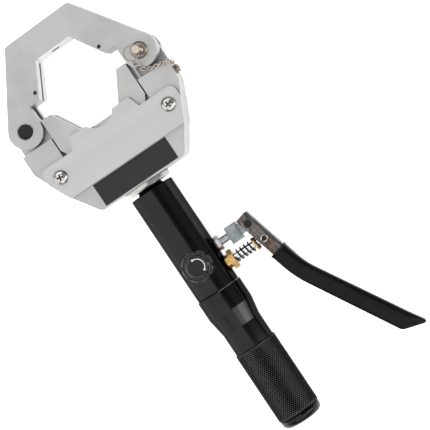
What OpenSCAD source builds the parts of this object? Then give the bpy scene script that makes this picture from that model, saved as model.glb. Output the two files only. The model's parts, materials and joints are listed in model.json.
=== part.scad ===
// Hand-pumped hydraulic crimper for hose ferrules.
// It lies on its back: +Y runs from the grip up through the head, +Z comes out of the front face,
// and +X points to the pump lever. The origin is the centre of the closed six-sided die opening.
// Every length is in millimetres and every angle in degrees.

/* [Die opening] */
// Distance across the flats of the closed die opening
opening_af = 60; // [52:0.5:64]
// Travel of the lower die seat, from the open opening to the closed one
seat_stroke = 11.5; // [6:0.5:12]
// Width of the key groove along the middle of a die flat
groove_w = 6; // [4:0.5:8]
// Depth of the key groove
groove_d = 2; // [1:0.1:3]
// Radius of the dowel hole in the middle of the top die flat
dowel_r = 4.3; // [3:0.1:5]
// Depth of the dowel hole
dowel_l = 8; // [4:0.5:12]
// Radius of the holes that take the die retaining pins
die_hole_r = 1.65; // [1:0.05:2]
// Height of the die retaining holes above the opening's centre
die_hole_y = 8.4; // [6:0.2:14]
// Distance of the die retaining holes outside the die flat
die_hole_out = 3.4; // [3:0.1:5]

/* [Upper jaw] */
// Thickness of the jaw and of the base frame
frame_t = 34; // [30:0.5:38]
// Metal between the top die flat and the outside of the jaw
crown_wall = 24; // [18:0.5:30]
// Half of the width of the flat crown, between its corner centres
crown_half = 30.5; // [26:0.5:34]
// Radius of the two crown corners
crown_r = 3.5; // [2:0.5:5]
// Height of the jaw's inner steps above the opening's centre
step_y = 1.2; // [0:0.2:3]
// Angle by which the jaw stands open on its hinge pin
jaw_tilt = 1.4; // [0:0.1:2]

/* [Ears and pins] */
// Distance of the hinge pin and the latch pin inside the sides of the base frame
pin_inset = 14.5; // [14:0.5:16]
// Distance of the two pins below the opening's centre
pin_drop = 13.5; // [12:0.5:16]
// Radius of the jaw's round ears
ear_r = 15; // [13:0.5:16]
// Thickness of each ear at the hinge
hinge_ear_t = 10; // [8:0.5:12]
// Radius of the hinge pin and of the latch pin
pin_r = 7.2; // [6:0.1:8]
// Thickness of the front ear at the latch
latch_ear_t = 20; // [18:0.5:21]
// Width of the slot that takes the tongue at the latch
latch_slot_w = 8; // [6:0.5:9]
// Radius of the latch pin's neck
latch_neck_r = 3.2; // [2.4:0.1:4]
// Radius of the latch pin's head
latch_head_r = 4.4; // [4.2:0.1:6]
// Height of the latch pin's head above the front face
latch_proud = 20; // [15:0.5:24]
// Radius of the pull ring, to the middle of its wire
ring_r = 6.2; // [5.5:0.1:7]
// Radius of the pull ring's wire
ring_wire_r = 0.55; // [0.4:0.05:0.8]

/* [Base frame] */
// Half of the width of the base frame
base_half = 73.5; // [72:0.5:76]
// Distance of the base frame's foot below the opening's centre
foot_drop = 104.3; // [98:0.5:110]
// Half of the width of the foot
foot_half = 40.5; // [36:0.5:44]
// Distance of the shoulders below the opening's centre
shoulder_drop = 47.8; // [44:0.5:50]
// Distance of the bottom of the die seat's channel below the opening's centre
channel_drop = 49; // [48:0.5:52]
// Gap between the ears and the arms of the base frame
ear_gap = 1.8; // [1:0.1:2.5]

/* [Cover plates] */
// Thickness of the front and rear cover plates
plate_t = 4; // [3:0.5:5]
// Distance of the lower edge of the plates above the foot of the base frame
plate_lift = 22.8; // [22:0.2:26]
// Distance of the plates' shoulders inside the sides of the base frame
plate_inset = 6.5; // [5.5:0.5:10]
// Corner radius of the plates' shoulders
plate_r = 6; // [4:0.5:8]
// Height of the plates' middle part above their shoulders
plate_rise = 10.9; // [8:0.1:11]
// Depth of the round relief in the middle of the plates' upper edge
relief_d = 7.5; // [5:0.5:8]
// Half of the width of the plates' middle part, where it leaves the shoulders
rise_half = 34; // [32:0.5:36]
// Distance of the screws inside the plates' shoulders
screw_inset = 12.2; // [10:0.2:14]
// Distance of the screws below the opening's centre
screw_drop = 61.8; // [60:0.2:64]
// Radius of a screw's pan head
screw_head_r = 6.4; // [5.5:0.1:7]
// Height of a screw's pan head
screw_head_h = 3.6; // [3:0.1:4.5]
// Radius of a screw's shank
screw_r = 3; // [2.5:0.5:3.5]
// Length of a screw's shank
screw_l = 15; // [10:0.5:16]
// Length of the arms of a screw's cross recess, from end to end
recess_l = 5.8; // [4:0.2:6.4]
// Width of the cross recess
recess_w = 1.3; // [0.9:0.1:1.6]
// Depth of the cross recess
recess_d = 2.8; // [1.5:0.1:3]

/* [Label panel] */
// Distance of the ends of the plain dark panel inside the corners of the foot
panel_inset = 3.9; // [2.4:0.1:8]
// Height of the plain dark panel
panel_h = 20.6; // [17:0.2:21]
// Thickness of the plain dark panel
panel_t = 0.4; // [0.3:0.1:0.6]
// Gap between the plate and the panel
panel_gap = 0.6; // [0.4:0.1:1]

/* [Die seat and ram] */
// Gap between the die seat and each side of its channel
seat_side_gap = 1; // [0.3:0.1:1.4]
// Gap between the die seat and each cover plate
seat_face_gap = 0.3; // [0.2:0.05:0.4]
// Distance of the tops of the seat's arms below the opening's centre
seat_arm_drop = 13; // [12.6:0.2:15]
// Radius of the ram
ram_r = 8; // [6:0.5:9]
// Radius of the ram's piston
piston_r = 14.9; // [13:0.1:15.5]
// Height of the ram's piston
piston_h = 12; // [10:0.5:16]
// Radius of the ram's upper spigot
spigot_r = 5; // [4:0.5:6]
// Length of the ram's upper spigot
spigot_l = 5; // [4:0.5:6]

/* [Pump body] */
// Outer radius of the pump body
body_r = 20; // [19:0.5:22]
// Length of the pump body
body_l = 101.5; // [100:0.5:110]
// Radius of the neck that screws into the base frame
neck_r = 11.25; // [10:0.25:12]
// Gap between the collar and the pump body
neck_gap = 3; // [2:0.5:6]
// Depth of the neck's thread in the base frame
neck_thread_l = 20; // [15:1:25]
// Radius of the bright collar
collar_r = 21.5; // [20.5:0.5:23]
// Height of the bright collar
collar_h = 4.5; // [3:0.5:6]
// Length of the ram's cylinder, below the gland
cylinder_l = 38; // [37:0.5:42]
// Radius of the valve balls
ball_r = 3; // [2.5:0.1:3.5]

/* [Reservoir and grip] */
// Outer radius of the upper end of the reservoir housing
housing_r = 20.3; // [19.5:0.1:22]
// Outer radius of the housing's waist
waist_r = 17.2; // [16.5:0.1:18]
// Length of the housing's wide part
housing_top_l = 18; // [14:0.5:22]
// Length of the housing's cone
housing_cone_l = 16; // [12:0.5:20]
// Length of the housing's waist
housing_waist_l = 20.5; // [16:0.5:26]
// Outer radius of the knurled grip
grip_r = 19; // [18:0.5:21]
// Length of the knurled grip
grip_l = 68; // [60:1:80]
// Outer radius of the end cap
cap_r = 17.5; // [16.5:0.5:19]
// Length of the end cap outside the grip
cap_l = 7; // [5:0.5:9]
// Wall of the reservoir housing and of the grip
reservoir_wall = 3.2; // [2.8:0.1:3.5]
// Radius of the rubber oil bladder
bladder_r = 11.5; // [10:0.5:12]

/* [Release knob] */
// Distance of the release knob above the lower end of the pump body
knob_rise = 26.6; // [24:0.2:30]
// Radius of the release knob
knob_r = 13.6; // [11:0.2:14]
// Height of the release knob
knob_h = 7; // [6:0.5:9]
// Radius of the knob's raised centre
knob_boss_r = 9.2; // [8:0.2:10]
// Number of finger hollows round the knob
knob_hollows = 8; // [6:1:10]
// Radius of the release stem
stem_r = 3; // [2:0.1:3.2]

/* [Pump side] */
// Distance of the lever's fulcrum above the lower end of the pump body
fulcrum_rise = 32.8; // [31:0.2:36]
// Distance of the lever's fulcrum from the axis of the pump body
fulcrum_reach = 52.8; // [50:0.2:56]
// Distance between the fulcrum and the plunger's pin, along the lever
pin_pitch = 18.2; // [17.4:0.2:20]
// Radius of the threaded stud that carries the fulcrum block
stud_r = 3.25; // [2.5:0.25:3.5]
// Radius of the stud's lock nut, over its corners
nut_r = 6.8; // [5.5:0.1:7.4]
// Thickness of the lock nut
nut_t = 3.3; // [2.5:0.1:4]
// Length of the fulcrum block along the stud's axis
block_l = 10; // [8:0.5:11]
// Height of the fulcrum block
block_h = 15.6; // [12:0.2:16]
// Width of the fulcrum block and of the lever's channel
channel_w = 16; // [14:0.5:18]
// Radius of the plunger
plunger_r = 3.5; // [3:0.1:4]
// Radius of the brass gland nut, over its corners
gland_r = 8.8; // [8:0.1:9]
// Thickness of the gland nut's six-sided part
gland_hex_t = 4.4; // [3:0.1:6]
// Thickness of the gland nut's round collar
gland_collar_t = 3.4; // [2:0.1:4]
// Radius of the gland nut's thread and collar
gland_thread_r = 6; // [5.5:0.1:6.5]
// Radius of the spring's coil, to the middle of its wire
coil_r = 4.85; // [4.7:0.05:5.2]
// Radius of the spring's wire
coil_wire_r = 0.65; // [0.5:0.05:0.7]
// Number of curls of the plunger's spring
coil_turns = 4.5; // [3:0.5:5]
// Radius of the brass spring plate
retainer_r = 6.3; // [5.6:0.1:6.4]
// Thickness of the brass spring plate
retainer_t = 1.7; // [1.2:0.1:2]

/* [Lever] */
// Angle of the lever's upper part from the axis of the pump body
lever_tilt = 15; // [13:0.5:16]
// Further angle of the lever's handle past its bend
lever_bend = 15; // [10:0.5:20]
// Radius of the lever's bend
bend_r = 90; // [70:5:120]
// Distance of the lever's open edge inside the fulcrum
lever_inner = 5.4; // [5.2:0.1:6]
// Distance of the lever's back outside the fulcrum
lever_outer = 6.6; // [6.4:0.1:7.5]
// Length of the lever above the fulcrum
lever_head_l = 8.7; // [7:0.1:9]
// Length of the lever from the fulcrum to its bend
lever_neck_l = 45; // [42:0.5:50]
// Length of the channel past the bend, inside the handle
lever_tail_l = 45; // [30:1:60]
// Thickness of the lever's sheet metal
lever_wall = 2; // [1.5:0.1:2]
// Bevel along the two back edges of the lever's channel
back_bevel = 2.2; // [1:0.1:2.4]
// Radius of the fulcrum pin and of the plunger's pin
lever_pin_r = 2.5; // [2:0.1:2.6]
// Radius of the round pin heads on the lever's sides
pin_head_r = 3.4; // [3:0.1:4]
// Distance from the fulcrum to the upper end of the handle
handle_start = 34; // [32:0.5:38]
// Length of the handle past the bend, along its back
handle_l = 103; // [90:1:115]
// Half of the width of the handle, from front to back
handle_side = 9.8; // [9.4:0.1:11]
// Thickness of the handle over the sheet metal
handle_wall = 1; // [0.8:0.1:1.5]
// Extra width that the handle gains towards its end
handle_flare = 1.6; // [0:0.1:3]
// Length of the slanted end of the handle
handle_slant = 15; // [8:0.5:18]

/* [Clearances] */
// Radial clearance of a pin, shaft or piston in its bore
fit_gap = 0.05; // [0.02:0.01:0.08]
// Gap between two pieces that lie against each other
seat_gap = 0.1; // [0.05:0.05:0.2]
// Gap between two pieces that move past each other
slide_gap = 0.3; // [0.2:0.05:0.5]

/* [Hidden] */
$fn = 64;
// Smoothness of a wire and of a swept surface
wire_sides = 6;
curl_rings = 8;
far = 300;

// Six-sided opening: a flat's half length and the height of the closed top flat
flat_y = opening_af / 2;
flat_half = opening_af / (2 * sqrt(3));
die_hole_x = 2 * flat_half - die_hole_y / sqrt(3) + die_hole_out;
crown_y = flat_y + crown_wall;
half_t = frame_t / 2;
pin_half = base_half - pin_inset;
channel_half = pin_half - ear_r;
throat_half = channel_half + 0.1;
arm_y = -(pin_drop + ear_r + ear_gap);
tongue_r = ear_r - 1;
hinge_slot_half = half_t - hinge_ear_t;
latch_slot_top = half_t - latch_ear_t;
tongue_clear = slide_gap;
hinge_at = [-pin_half, -pin_drop];
latch_at = [pin_half, -pin_drop];
// Where the tilted jaw puts its latch hole
latch_rest = hinge_at + 2 * pin_half * [cos(jaw_tilt), sin(jaw_tilt)];
pin_hole_r = pin_r + fit_gap;

// Base frame's outline, down one side: each cut is the distance in from a side and up or down to a corner
shoulder_cut = [6, 13];
flank_cut = [16, 23];
foot_cut = [3, 2.3];
base_side = [[base_half, -shoulder_drop], [base_half - shoulder_cut[0], -shoulder_drop - shoulder_cut[1]],
    [base_half - flank_cut[0], -foot_drop + flank_cut[1]], [foot_half + foot_cut[0], -foot_drop + foot_cut[1]],
    [foot_half, -foot_drop]];

// Cover plates and panel
plate_half = base_half - plate_inset;
plate_drop = foot_drop - plate_lift;
screw_half = plate_half - screw_inset;
rise_slant = 4;
panel_half = foot_half - panel_inset;

// Die seat
seat_half = channel_half - seat_side_gap;
seat_t = frame_t - 2 * seat_face_gap;
seat_floor = -(channel_drop - seat_gap);
seat_flat_y = -flat_y - seat_stroke;
seat_corner = 6;

// Stations along the pump body, from the foot of the base frame downwards
collar_top = -foot_drop - seat_gap;
collar_foot = collar_top - collar_h;
body_top = collar_foot - neck_gap;
body_foot = body_top - body_l;
gland_l = 11;
gland_top = body_top - 0.6;
gland_foot = gland_top - gland_l;
bore_r = piston_r + fit_gap;
cylinder_foot = gland_foot - cylinder_l;
piston_foot = cylinder_foot + 1;
piston_top = piston_foot + piston_h;
ram_bore_r = ram_r + fit_gap;
seal_w = 2.2;
spigot_end_l = 12;
spigot_end_r = housing_r - reservoir_wall - seat_gap;

// Reservoir stations
housing_top = body_foot - seat_gap;
cone_top = housing_top - housing_top_l;
cone_foot = cone_top - housing_cone_l;
housing_foot = cone_foot - housing_waist_l;
grip_top = housing_foot - seat_gap;
grip_foot = grip_top - grip_l;
cap_top = grip_foot - 0.9;
cap_foot = cap_top - cap_l;
joint_l = 12;
inner_r = waist_r - reservoir_wall;
sleeve_bore_r = grip_r - reservoir_wall;
bladder_neck_r = 4.4;

// Release valve
knob_y = body_foot + knob_rise;
knob_z = body_r + 0.6;
needle_z = 2;
passage_r = 1.5;

// Pump side, from the pump body outwards
fulcrum_y = body_foot + fulcrum_rise;
fulcrum_at = [fulcrum_reach, fulcrum_y];
lever_pin_at = fulcrum_at + pin_pitch * [sin(lever_tilt), -cos(lever_tilt)];
plunger_y = lever_pin_at[1];
spot_x = body_r - 0.5;
stud_x = 8;
washer_t = 1.6;
washer_x = spot_x + seat_gap;
nut_x = washer_x + washer_t;
nut_end = nut_x + nut_t;
tongue_r_end = lever_outer - lever_wall - slide_gap;
block_back = 9.5;
block_x = fulcrum_reach - block_back - block_l;
block_end = block_x + block_l;
channel_in = channel_w / 2 - lever_wall;
eye_half = channel_in - 1.6;
gland_x = spot_x + seat_gap;
gland_face = gland_x + gland_collar_t + gland_hex_t;
gland_thread_x = 9;
seal_x = gland_thread_x - 2.2;
plunger_bore_r = plunger_r + fit_gap;
plunger_stroke = 8.3;
retainer_x = fulcrum_reach - 3.8;
retainer_tilt = 8;
spring_x = gland_face + seat_gap + coil_wire_r;
spring_end = retainer_x - retainer_t - coil_wire_r - (coil_r + coil_wire_r) * sin(retainer_tilt) - seat_gap;
spring_pitch = (spring_end - spring_x) / coil_turns;
return_wire_r = 1.1;
return_r = 11.2;
return_turns = 4.5;
return_low = piston_top + seat_gap + return_wire_r;
return_high = gland_foot - seat_gap - return_wire_r;
return_pitch = (return_high - return_low) / return_turns;

// Height of the pull ring's plane
ring_rise = 14.6;
ring_z = half_t + ring_rise;
ring_slack = 0.7;
ring_hole_r = ring_wire_r + 0.85;
ring_at = [latch_rest[0] - ring_r + ring_slack, latch_rest[1]];

// Safety chain: oval links of one pitch, each a step further along a slowly turning direction.
// The tables give the heading and the slope of the steps at a few links.
link_wire_r = 0.4;
link_r = 1.25;
link_straight = 0.75;
link_pitch = 2.75;
link_count = 18;
chain_inset = 7.7;
chain_lead = 8.5;
chain_sag = 2.4;
chain_start = [latch_rest[0] - chain_inset, latch_rest[1] - chain_lead, ring_z - chain_sag];
chain_heading = [[0, -92], [2, -66], [4, -34], [6, -14], [10, -6], [12, -20], [13, -50], [14, -80], [19, -96]];
chain_slope = [[0, -46], [2, -52], [3, -42], [4, -22], [5, -6], [6, 0], [9, 0], [10, -8], [11, -32], [12, -59],
    [13, -78], [15, -74], [17, -60], [19, -40]];
anchor_drop = 9.3;
anchor_y = arm_y - anchor_drop;
anchor_r = 4;
anchor_shank_r = 2;
washer_h = 1;
groove_h = 1.4;
eyelet_r = 3;
eyelet_turn = 37;

// Metals and plastics as the photograph shows them
steel = [0.76, 0.76, 0.75];
bright = [0.82, 0.82, 0.83];
black = [0.16, 0.16, 0.17];
zinc = [0.6, 0.64, 0.64];
brass = [0.8, 0.6, 0.28];

// A cylinder along Y between two heights
module y_rod(low, high, r) {
    translate([0, low, 0])
        rotate([-90, 0, 0])
            cylinder(h = high - low, r = r);
}

// A cylinder along X between two stations, at one height
module x_rod(low, high, r, y) {
    translate([low, y, 0])
        rotate([0, 90, 0])
            cylinder(h = high - low, r = r);
}

// A cylinder along Z between two depths, through a point of the front view
module z_rod(low, high, r, at) {
    translate([at[0], at[1], low])
        cylinder(h = high - low, r = r);
}

// A profile of [radius, height] turned about the pump body's axis
module y_turned(profile) {
    rotate([-90, 0, 0])
        mirror([0, 0, 1])
            rotate_extrude()
                polygon([for (p = profile) [p[0], -p[1]]]);
}

// The two ends of the common tangent on the left of the way from one circle to another,
// a hair inside both
function tangent_ends(a, ra, b, rb) =
    let (turn = atan2(b[1] - a[1], b[0] - a[0]) + acos((ra - rb) / norm(b - a)),
        out = [cos(turn), sin(turn)], hair = 0.01)
    [a + (ra - hair) * out, b + (rb - hair) * out];

// Two round ends and the straight band that joins them, as one flat shape
module band_2d(a, ra, b, rb) {
    translate(a)
        circle(r = ra);
    translate(b)
        circle(r = rb);
    polygon(concat(tangent_ends(a, ra, b, rb), tangent_ends(b, rb, a, ra)));
}

// The left half and the right half of a shape
module both_sides() {
    children();
    mirror([1, 0, 0])
        children();
}

// One closed tube of triangles swept round and along an axis: the curls of a spring
function coil_ring(k, per_curl, r, wire, pitch) =
    let (a = 360 * k / per_curl, lift = atan2(pitch, 2 * PI * r))
    [for (j = [0 : wire_sides - 1])
        let (b = 360 * j / wire_sides, out = wire * cos(b), up = wire * sin(b))
        [(r + out) * cos(a) + up * sin(lift) * sin(a),
         (r + out) * sin(a) - up * sin(lift) * cos(a),
         pitch * k / per_curl + up * cos(lift)]];

module coil(r, wire, pitch, turns) {
    rings = round(turns * curl_rings) + 1;
    points = [for (k = [0 : rings - 1]) each coil_ring(k, curl_rings, r, wire, pitch)];
    sides = [for (k = [0 : rings - 2], j = [0 : wire_sides - 1])
        let (n = (j + 1) % wire_sides, a = k * wire_sides, b = a + wire_sides)
        each [[a + j, b + n, b + j], [a + j, a + n, b + n]]];
    first = [for (j = [1 : wire_sides - 2]) [0, j + 1, j]];
    last_at = (rings - 1) * wire_sides;
    last = [for (j = [1 : wire_sides - 2]) [last_at, last_at + j, last_at + j + 1]];
    echo(least_gap_between_curls = pitch - 2 * wire);
    mirror([0, 1, 0])
        polyhedron(points, concat(sides, first, last));
}

// The jaw before its opening is cut: two round ears, two round crown corners and what joins them
module jaw_blank() {
    left = [-crown_half, crown_y - crown_r];
    right = [crown_half, crown_y - crown_r];
    for (ear = [hinge_at, latch_at])
        z_rod(-half_t, half_t, ear_r, ear);
    for (corner = [left, right])
        z_rod(-half_t, half_t, crown_r, corner);
    translate([0, 0, -half_t])
        linear_extrude(frame_t)
            polygon(concat(tangent_ends(hinge_at, ear_r, left, crown_r),
                tangent_ends(left, crown_r, right, crown_r),
                tangent_ends(right, crown_r, latch_at, ear_r), [latch_at, hinge_at]));
}

// The space inside the jaw: three die flats, two steps and the throat between the ears
module jaw_throat() {
    step_x = 2 * flat_half - step_y / sqrt(3);
    polygon([[-flat_half, flat_y], [flat_half, flat_y], [step_x, step_y], [throat_half, step_y],
        [throat_half, -far], [-throat_half, -far], [-throat_half, step_y], [-step_x, step_y]]);
}

// A key groove along a slanted die flat on the right
module key_groove(top_y, foot_y) {
    x_top = 2 * flat_half - abs(top_y) / sqrt(3);
    x_foot = 2 * flat_half - abs(foot_y) / sqrt(3);
    translate([0, 0, -groove_w / 2])
        linear_extrude(groove_w)
            polygon([[x_top - 1, top_y], [x_top + groove_d, top_y], [x_foot + groove_d, foot_y],
                [x_foot - 1, foot_y]]);
}

module upper_jaw() {
    slot_top = -pin_drop + ear_r + 0.5;
    color(steel)
        translate([hinge_at[0], hinge_at[1], 0])
            rotate([0, 0, jaw_tilt])
                translate([-hinge_at[0], -hinge_at[1], 0])
                    difference() {
                        jaw_blank();
                        translate([0, 0, -half_t - 1])
                            linear_extrude(frame_t + 2)
                                jaw_throat();
                        translate([-far, -far, -hinge_slot_half])
                            cube([far - channel_half + 0.01, far + slot_top, 2 * hinge_slot_half]);
                        translate([channel_half - 0.01, -far, latch_slot_top - latch_slot_w])
                            cube([far, far + slot_top, latch_slot_w]);
                        z_rod(-far, far, pin_hole_r, hinge_at);
                        z_rod(-far, far, pin_hole_r, latch_at);
                        both_sides() {
                            z_rod(-far, far, die_hole_r, [die_hole_x, die_hole_y]);
                            key_groove(flat_y - 1.5, step_y - 1);
                        }
                        y_rod(flat_y - 1, flat_y + dowel_l, dowel_r);
                    }
}

module hinge_pin() {
    color(black)
        z_rod(-half_t + 0.1, half_t - 0.1, pin_r, hinge_at);
}

// Latch pin, drawn back out of the tongue: its shaft stays in the front ear
module latch_pin() {
    top = half_t + latch_proud;
    shaft_top = half_t + 1.2;
    neck_top = top - 3;
    color([0.74, 0.7, 0.66])
        translate([latch_rest[0], latch_rest[1], 0])
            difference() {
                rotate_extrude()
                    polygon([[0, latch_slot_top + slide_gap], [pin_r - 1.2, latch_slot_top + slide_gap],
                        [pin_r, latch_slot_top + slide_gap + 1.2], [pin_r, shaft_top - 1.4],
                        [pin_r - 1.4, shaft_top], [latch_neck_r, shaft_top], [latch_neck_r, shaft_top + 3],
                        [latch_head_r, shaft_top + 4], [latch_head_r, shaft_top + 6],
                        [latch_neck_r, shaft_top + 7], [latch_neck_r, neck_top - 0.8],
                        [latch_head_r, neck_top], [latch_head_r, top - 1.2], [latch_head_r - 1.2, top],
                        [0, top]]);
                translate([0, 0, ring_z])
                    rotate([90, 0, 0])
                        cylinder(h = 2 * latch_head_r, r = ring_hole_r, center = true);
            }
}

// Pull ring through the cross hole of the latch pin's neck
module pull_ring() {
    color([0.7, 0.67, 0.6])
        translate([ring_at[0], ring_at[1], ring_z])
            rotate_extrude()
                translate([ring_r, 0])
                    circle(r = ring_wire_r, $fn = 24);
}

// One oval chain link along X, of two half rings and two straight sides
module chain_link() {
    for (side = [0, 180])
        rotate([0, 0, side]) {
            translate([link_straight, 0, 0])
                rotate([0, 0, -90])
                    rotate_extrude(angle = 180)
                        translate([link_r, 0])
                            circle(r = link_wire_r, $fn = 16);
            translate([-link_straight, link_r, 0])
                rotate([0, 90, 0])
                    cylinder(h = 2 * link_straight, r = link_wire_r, $fn = 16);
        }
}

function chain_step(k) =
    let (h = lookup(k, chain_heading), e = lookup(k, chain_slope))
    link_pitch * [cos(h) * cos(e), sin(h) * cos(e), sin(e)];

function chain_point(k) = k == 0 ? chain_start : chain_point(k - 1) + chain_step(k - 1);

// Chain from the pull ring over the edge of the frame, and the eyelet round its screw
module safety_chain() {
    color([0.66, 0.62, 0.57]) {
        for (k = [0 : link_count - 1])
            translate(chain_point(k))
                rotate([0, -lookup(k - 0.5, chain_slope), lookup(k - 0.5, chain_heading)])
                    rotate([k % 2 == 0 ? 0 : 90, 0, 0])
                        chain_link();
        translate([base_half + seat_gap + washer_h + groove_h / 2, anchor_y, 0])
            rotate([eyelet_turn, 0, 0])
                translate([0, eyelet_r - link_wire_r - anchor_shank_r - seat_gap / 2, 0])
                    rotate([0, 90, 0])
                        rotate_extrude()
                            translate([eyelet_r, 0])
                                circle(r = link_wire_r, $fn = 16);
    }
}

// Screw and washer that hold the chain's end link on the side of the base frame
module chain_screw() {
    x0 = base_half + seat_gap;
    color([0.66, 0.62, 0.57])
        translate([x0, anchor_y, 0])
            rotate([0, 90, 0])
                rotate_extrude()
                    polygon([[0, -9], [anchor_shank_r, -9], [anchor_shank_r, 0], [anchor_r, 0],
                        [anchor_r, washer_h], [anchor_shank_r, washer_h], [anchor_shank_r, washer_h + groove_h],
                        [anchor_r, washer_h + groove_h], [anchor_r, washer_h + groove_h + 0.5],
                        [anchor_r - 1.2, washer_h + groove_h + 1.7], [0, washer_h + groove_h + 1.7]]);
}

// Outline of the base frame between its shoulders and its foot
module base_outline() {
    right = concat([[base_half, arm_y]], base_side);
    left = [for (k = [len(right) - 1 : -1 : 0]) [-right[k][0], right[k][1]]];
    polygon(concat(right, left));
}

// A tongue that stands up from an arm to a pin
module tongue(at, low, high) {
    translate([0, 0, low])
        linear_extrude(high - low) {
            translate(at)
                circle(r = tongue_r);
            translate([at[0] - tongue_r, arm_y - 1])
                square([2 * tongue_r, at[1] - arm_y + 1]);
        }
}

module base_frame() {
    color(steel)
        difference() {
            union() {
                translate([0, 0, -half_t])
                    linear_extrude(frame_t)
                        base_outline();
                tongue(hinge_at, -hinge_slot_half + tongue_clear, hinge_slot_half - tongue_clear);
                tongue(latch_rest, latch_slot_top - latch_slot_w + tongue_clear, latch_slot_top - tongue_clear);
            }
            translate([-channel_half, -channel_drop, -far])
                cube([2 * channel_half, far, 2 * far]);
            z_rod(-far, far, pin_hole_r, hinge_at);
            z_rod(-far, far, pin_hole_r, latch_rest);
            y_rod(-foot_drop - 1, -channel_drop + 1, ram_bore_r);
            y_rod(-foot_drop - 1, -foot_drop + neck_thread_l + 1, neck_r + fit_gap);
            both_sides()
                for (side = [-1, 1])
                    z_rod(min(side * half_t, side * (half_t - screw_l)) - 1,
                        max(side * half_t, side * (half_t - screw_l)) + 1, screw_r + fit_gap,
                        [screw_half, -screw_drop]);
            x_rod(base_half - 10, base_half + 1, anchor_shank_r + fit_gap, anchor_y);
        }
}

// Outline of a cover plate: two shoulders, a raised middle and a round relief
module plate_outline() {
    shoulder_y = -channel_drop;
    rise_y = shoulder_y + plate_rise;
    relief_half = 13.6;
    relief_r = (relief_half * relief_half + relief_d * relief_d) / (2 * relief_d);
    difference() {
        intersection() {
            base_outline();
            union() {
                both_sides() {
                    translate([plate_half - plate_r, shoulder_y - plate_r])
                        circle(r = plate_r);
                    translate([0, -plate_drop])
                        square([plate_half, plate_drop + shoulder_y - plate_r]);
                    translate([0, -plate_drop])
                        square([plate_half - plate_r, plate_drop + shoulder_y]);
                    polygon([[0, shoulder_y - 1], [rise_half, shoulder_y - 1], [rise_half, shoulder_y],
                        [rise_half - rise_slant, rise_y], [0, rise_y]]);
                }
            }
        }
        translate([0, rise_y - relief_d + relief_r])
            circle(r = relief_r);
    }
}

module cover_plate() {
    color(bright)
        translate([0, 0, half_t])
            difference() {
                linear_extrude(plate_t)
                    plate_outline();
                both_sides()
                    z_rod(-1, plate_t + 1, screw_r + fit_gap, [screw_half, -screw_drop]);
            }
}

module front_cover_plate() {
    cover_plate();
}

module rear_cover_plate() {
    mirror([0, 0, 1])
        cover_plate();
}

// A pan head screw with a cross recess, its head on the XY plane
module pan_screw() {
    difference() {
        union() {
            rotate_extrude()
                polygon([[0, 0], [screw_head_r, 0], [screw_head_r, 0.9], [screw_head_r - 0.7, 2.3],
                    [screw_head_r - 2.2, screw_head_h - 0.4], [screw_head_r - 3.6, screw_head_h],
                    [0, screw_head_h]]);
            translate([0, 0, -screw_l + plate_t])
                cylinder(h = screw_l - plate_t, r = screw_r);
        }
        for (turn = [0, 90])
            rotate([0, 0, turn])
                translate([-recess_l / 2, -recess_w / 2, screw_head_h - recess_d])
                    cube([recess_l, recess_w, recess_d + 1]);
    }
}

module cover_screws() {
    color(bright)
        both_sides()
            translate([screw_half, -screw_drop, half_t + plate_t])
                rotate([0, 0, 14])
                    pan_screw();
}

module front_screws() {
    cover_screws();
}

module rear_screws() {
    mirror([0, 0, 1])
        cover_screws();
}

module label_panel() {
    color(black)
        translate([-panel_half, -plate_drop - panel_gap - panel_h, half_t])
            cube([2 * panel_half, panel_h, panel_t]);
}

// Outline of the lower die seat: three die flats between two arms
module seat_outline() {
    arm_x = 2 * flat_half - (seat_arm_drop - seat_stroke) / sqrt(3);
    polygon([[-seat_half, -seat_arm_drop], [-arm_x, -seat_arm_drop], [-flat_half, seat_flat_y],
        [flat_half, seat_flat_y], [arm_x, -seat_arm_drop], [seat_half, -seat_arm_drop],
        [seat_half, seat_floor + seat_corner], [seat_half - seat_corner * 0.6, seat_floor],
        [-seat_half + seat_corner * 0.6, seat_floor], [-seat_half, seat_floor + seat_corner]]);
}

module die_seat() {
    color(steel)
        difference() {
            translate([0, 0, -seat_t / 2])
                linear_extrude(seat_t)
                    seat_outline();
            both_sides()
                translate([0, -seat_stroke, 0])
                    mirror([0, 1, 0])
                        key_groove(flat_y - 3, 3);
            y_rod(seat_floor - 1, seat_floor + spigot_l + 0.4, spigot_r + fit_gap);
        }
}

// Ram: piston, rod and the spigot that screws into the die seat
module ram() {
    groove_mid = (piston_top + piston_foot) / 2;
    ram_top = seat_floor - 0.05;
    color([0.8, 0.8, 0.82])
        y_turned([[0, piston_foot], [piston_r - 1, piston_foot], [piston_r, piston_foot + 1],
            [piston_r, groove_mid - seal_w / 2], [piston_r - 2.4, groove_mid - seal_w / 2],
            [piston_r - 2.4, groove_mid + seal_w / 2], [piston_r, groove_mid + seal_w / 2],
            [piston_r, piston_top], [ram_r, piston_top], [ram_r, ram_top], [spigot_r, ram_top],
            [spigot_r, ram_top + spigot_l], [0, ram_top + spigot_l]]);
}

module ram_seal() {
    groove_mid = (piston_top + piston_foot) / 2;
    low = groove_mid - seal_w / 2;
    high = groove_mid + seal_w / 2;
    color(black)
        y_turned([[piston_r - 2.35, low + 0.02], [piston_r + 0.03, low + 0.02], [piston_r + 0.03, high - 0.02],
            [piston_r - 2.35, high - 0.02]]);
}

// Return spring round the ram, between the piston and the neck gland
module return_spring() {
    color(bright)
        translate([0, return_low, 0])
            rotate([-90, 0, 0])
                coil(return_r, return_wire_r, return_pitch, return_turns);
}

module neck_collar() {
    color(bright)
        y_turned([[neck_r + fit_gap, collar_foot], [collar_r - 1.2, collar_foot], [collar_r, collar_foot + 1.2],
            [collar_r, collar_top - 0.5], [collar_r - 0.5, collar_top], [neck_r + fit_gap, collar_top]]);
}

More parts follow.
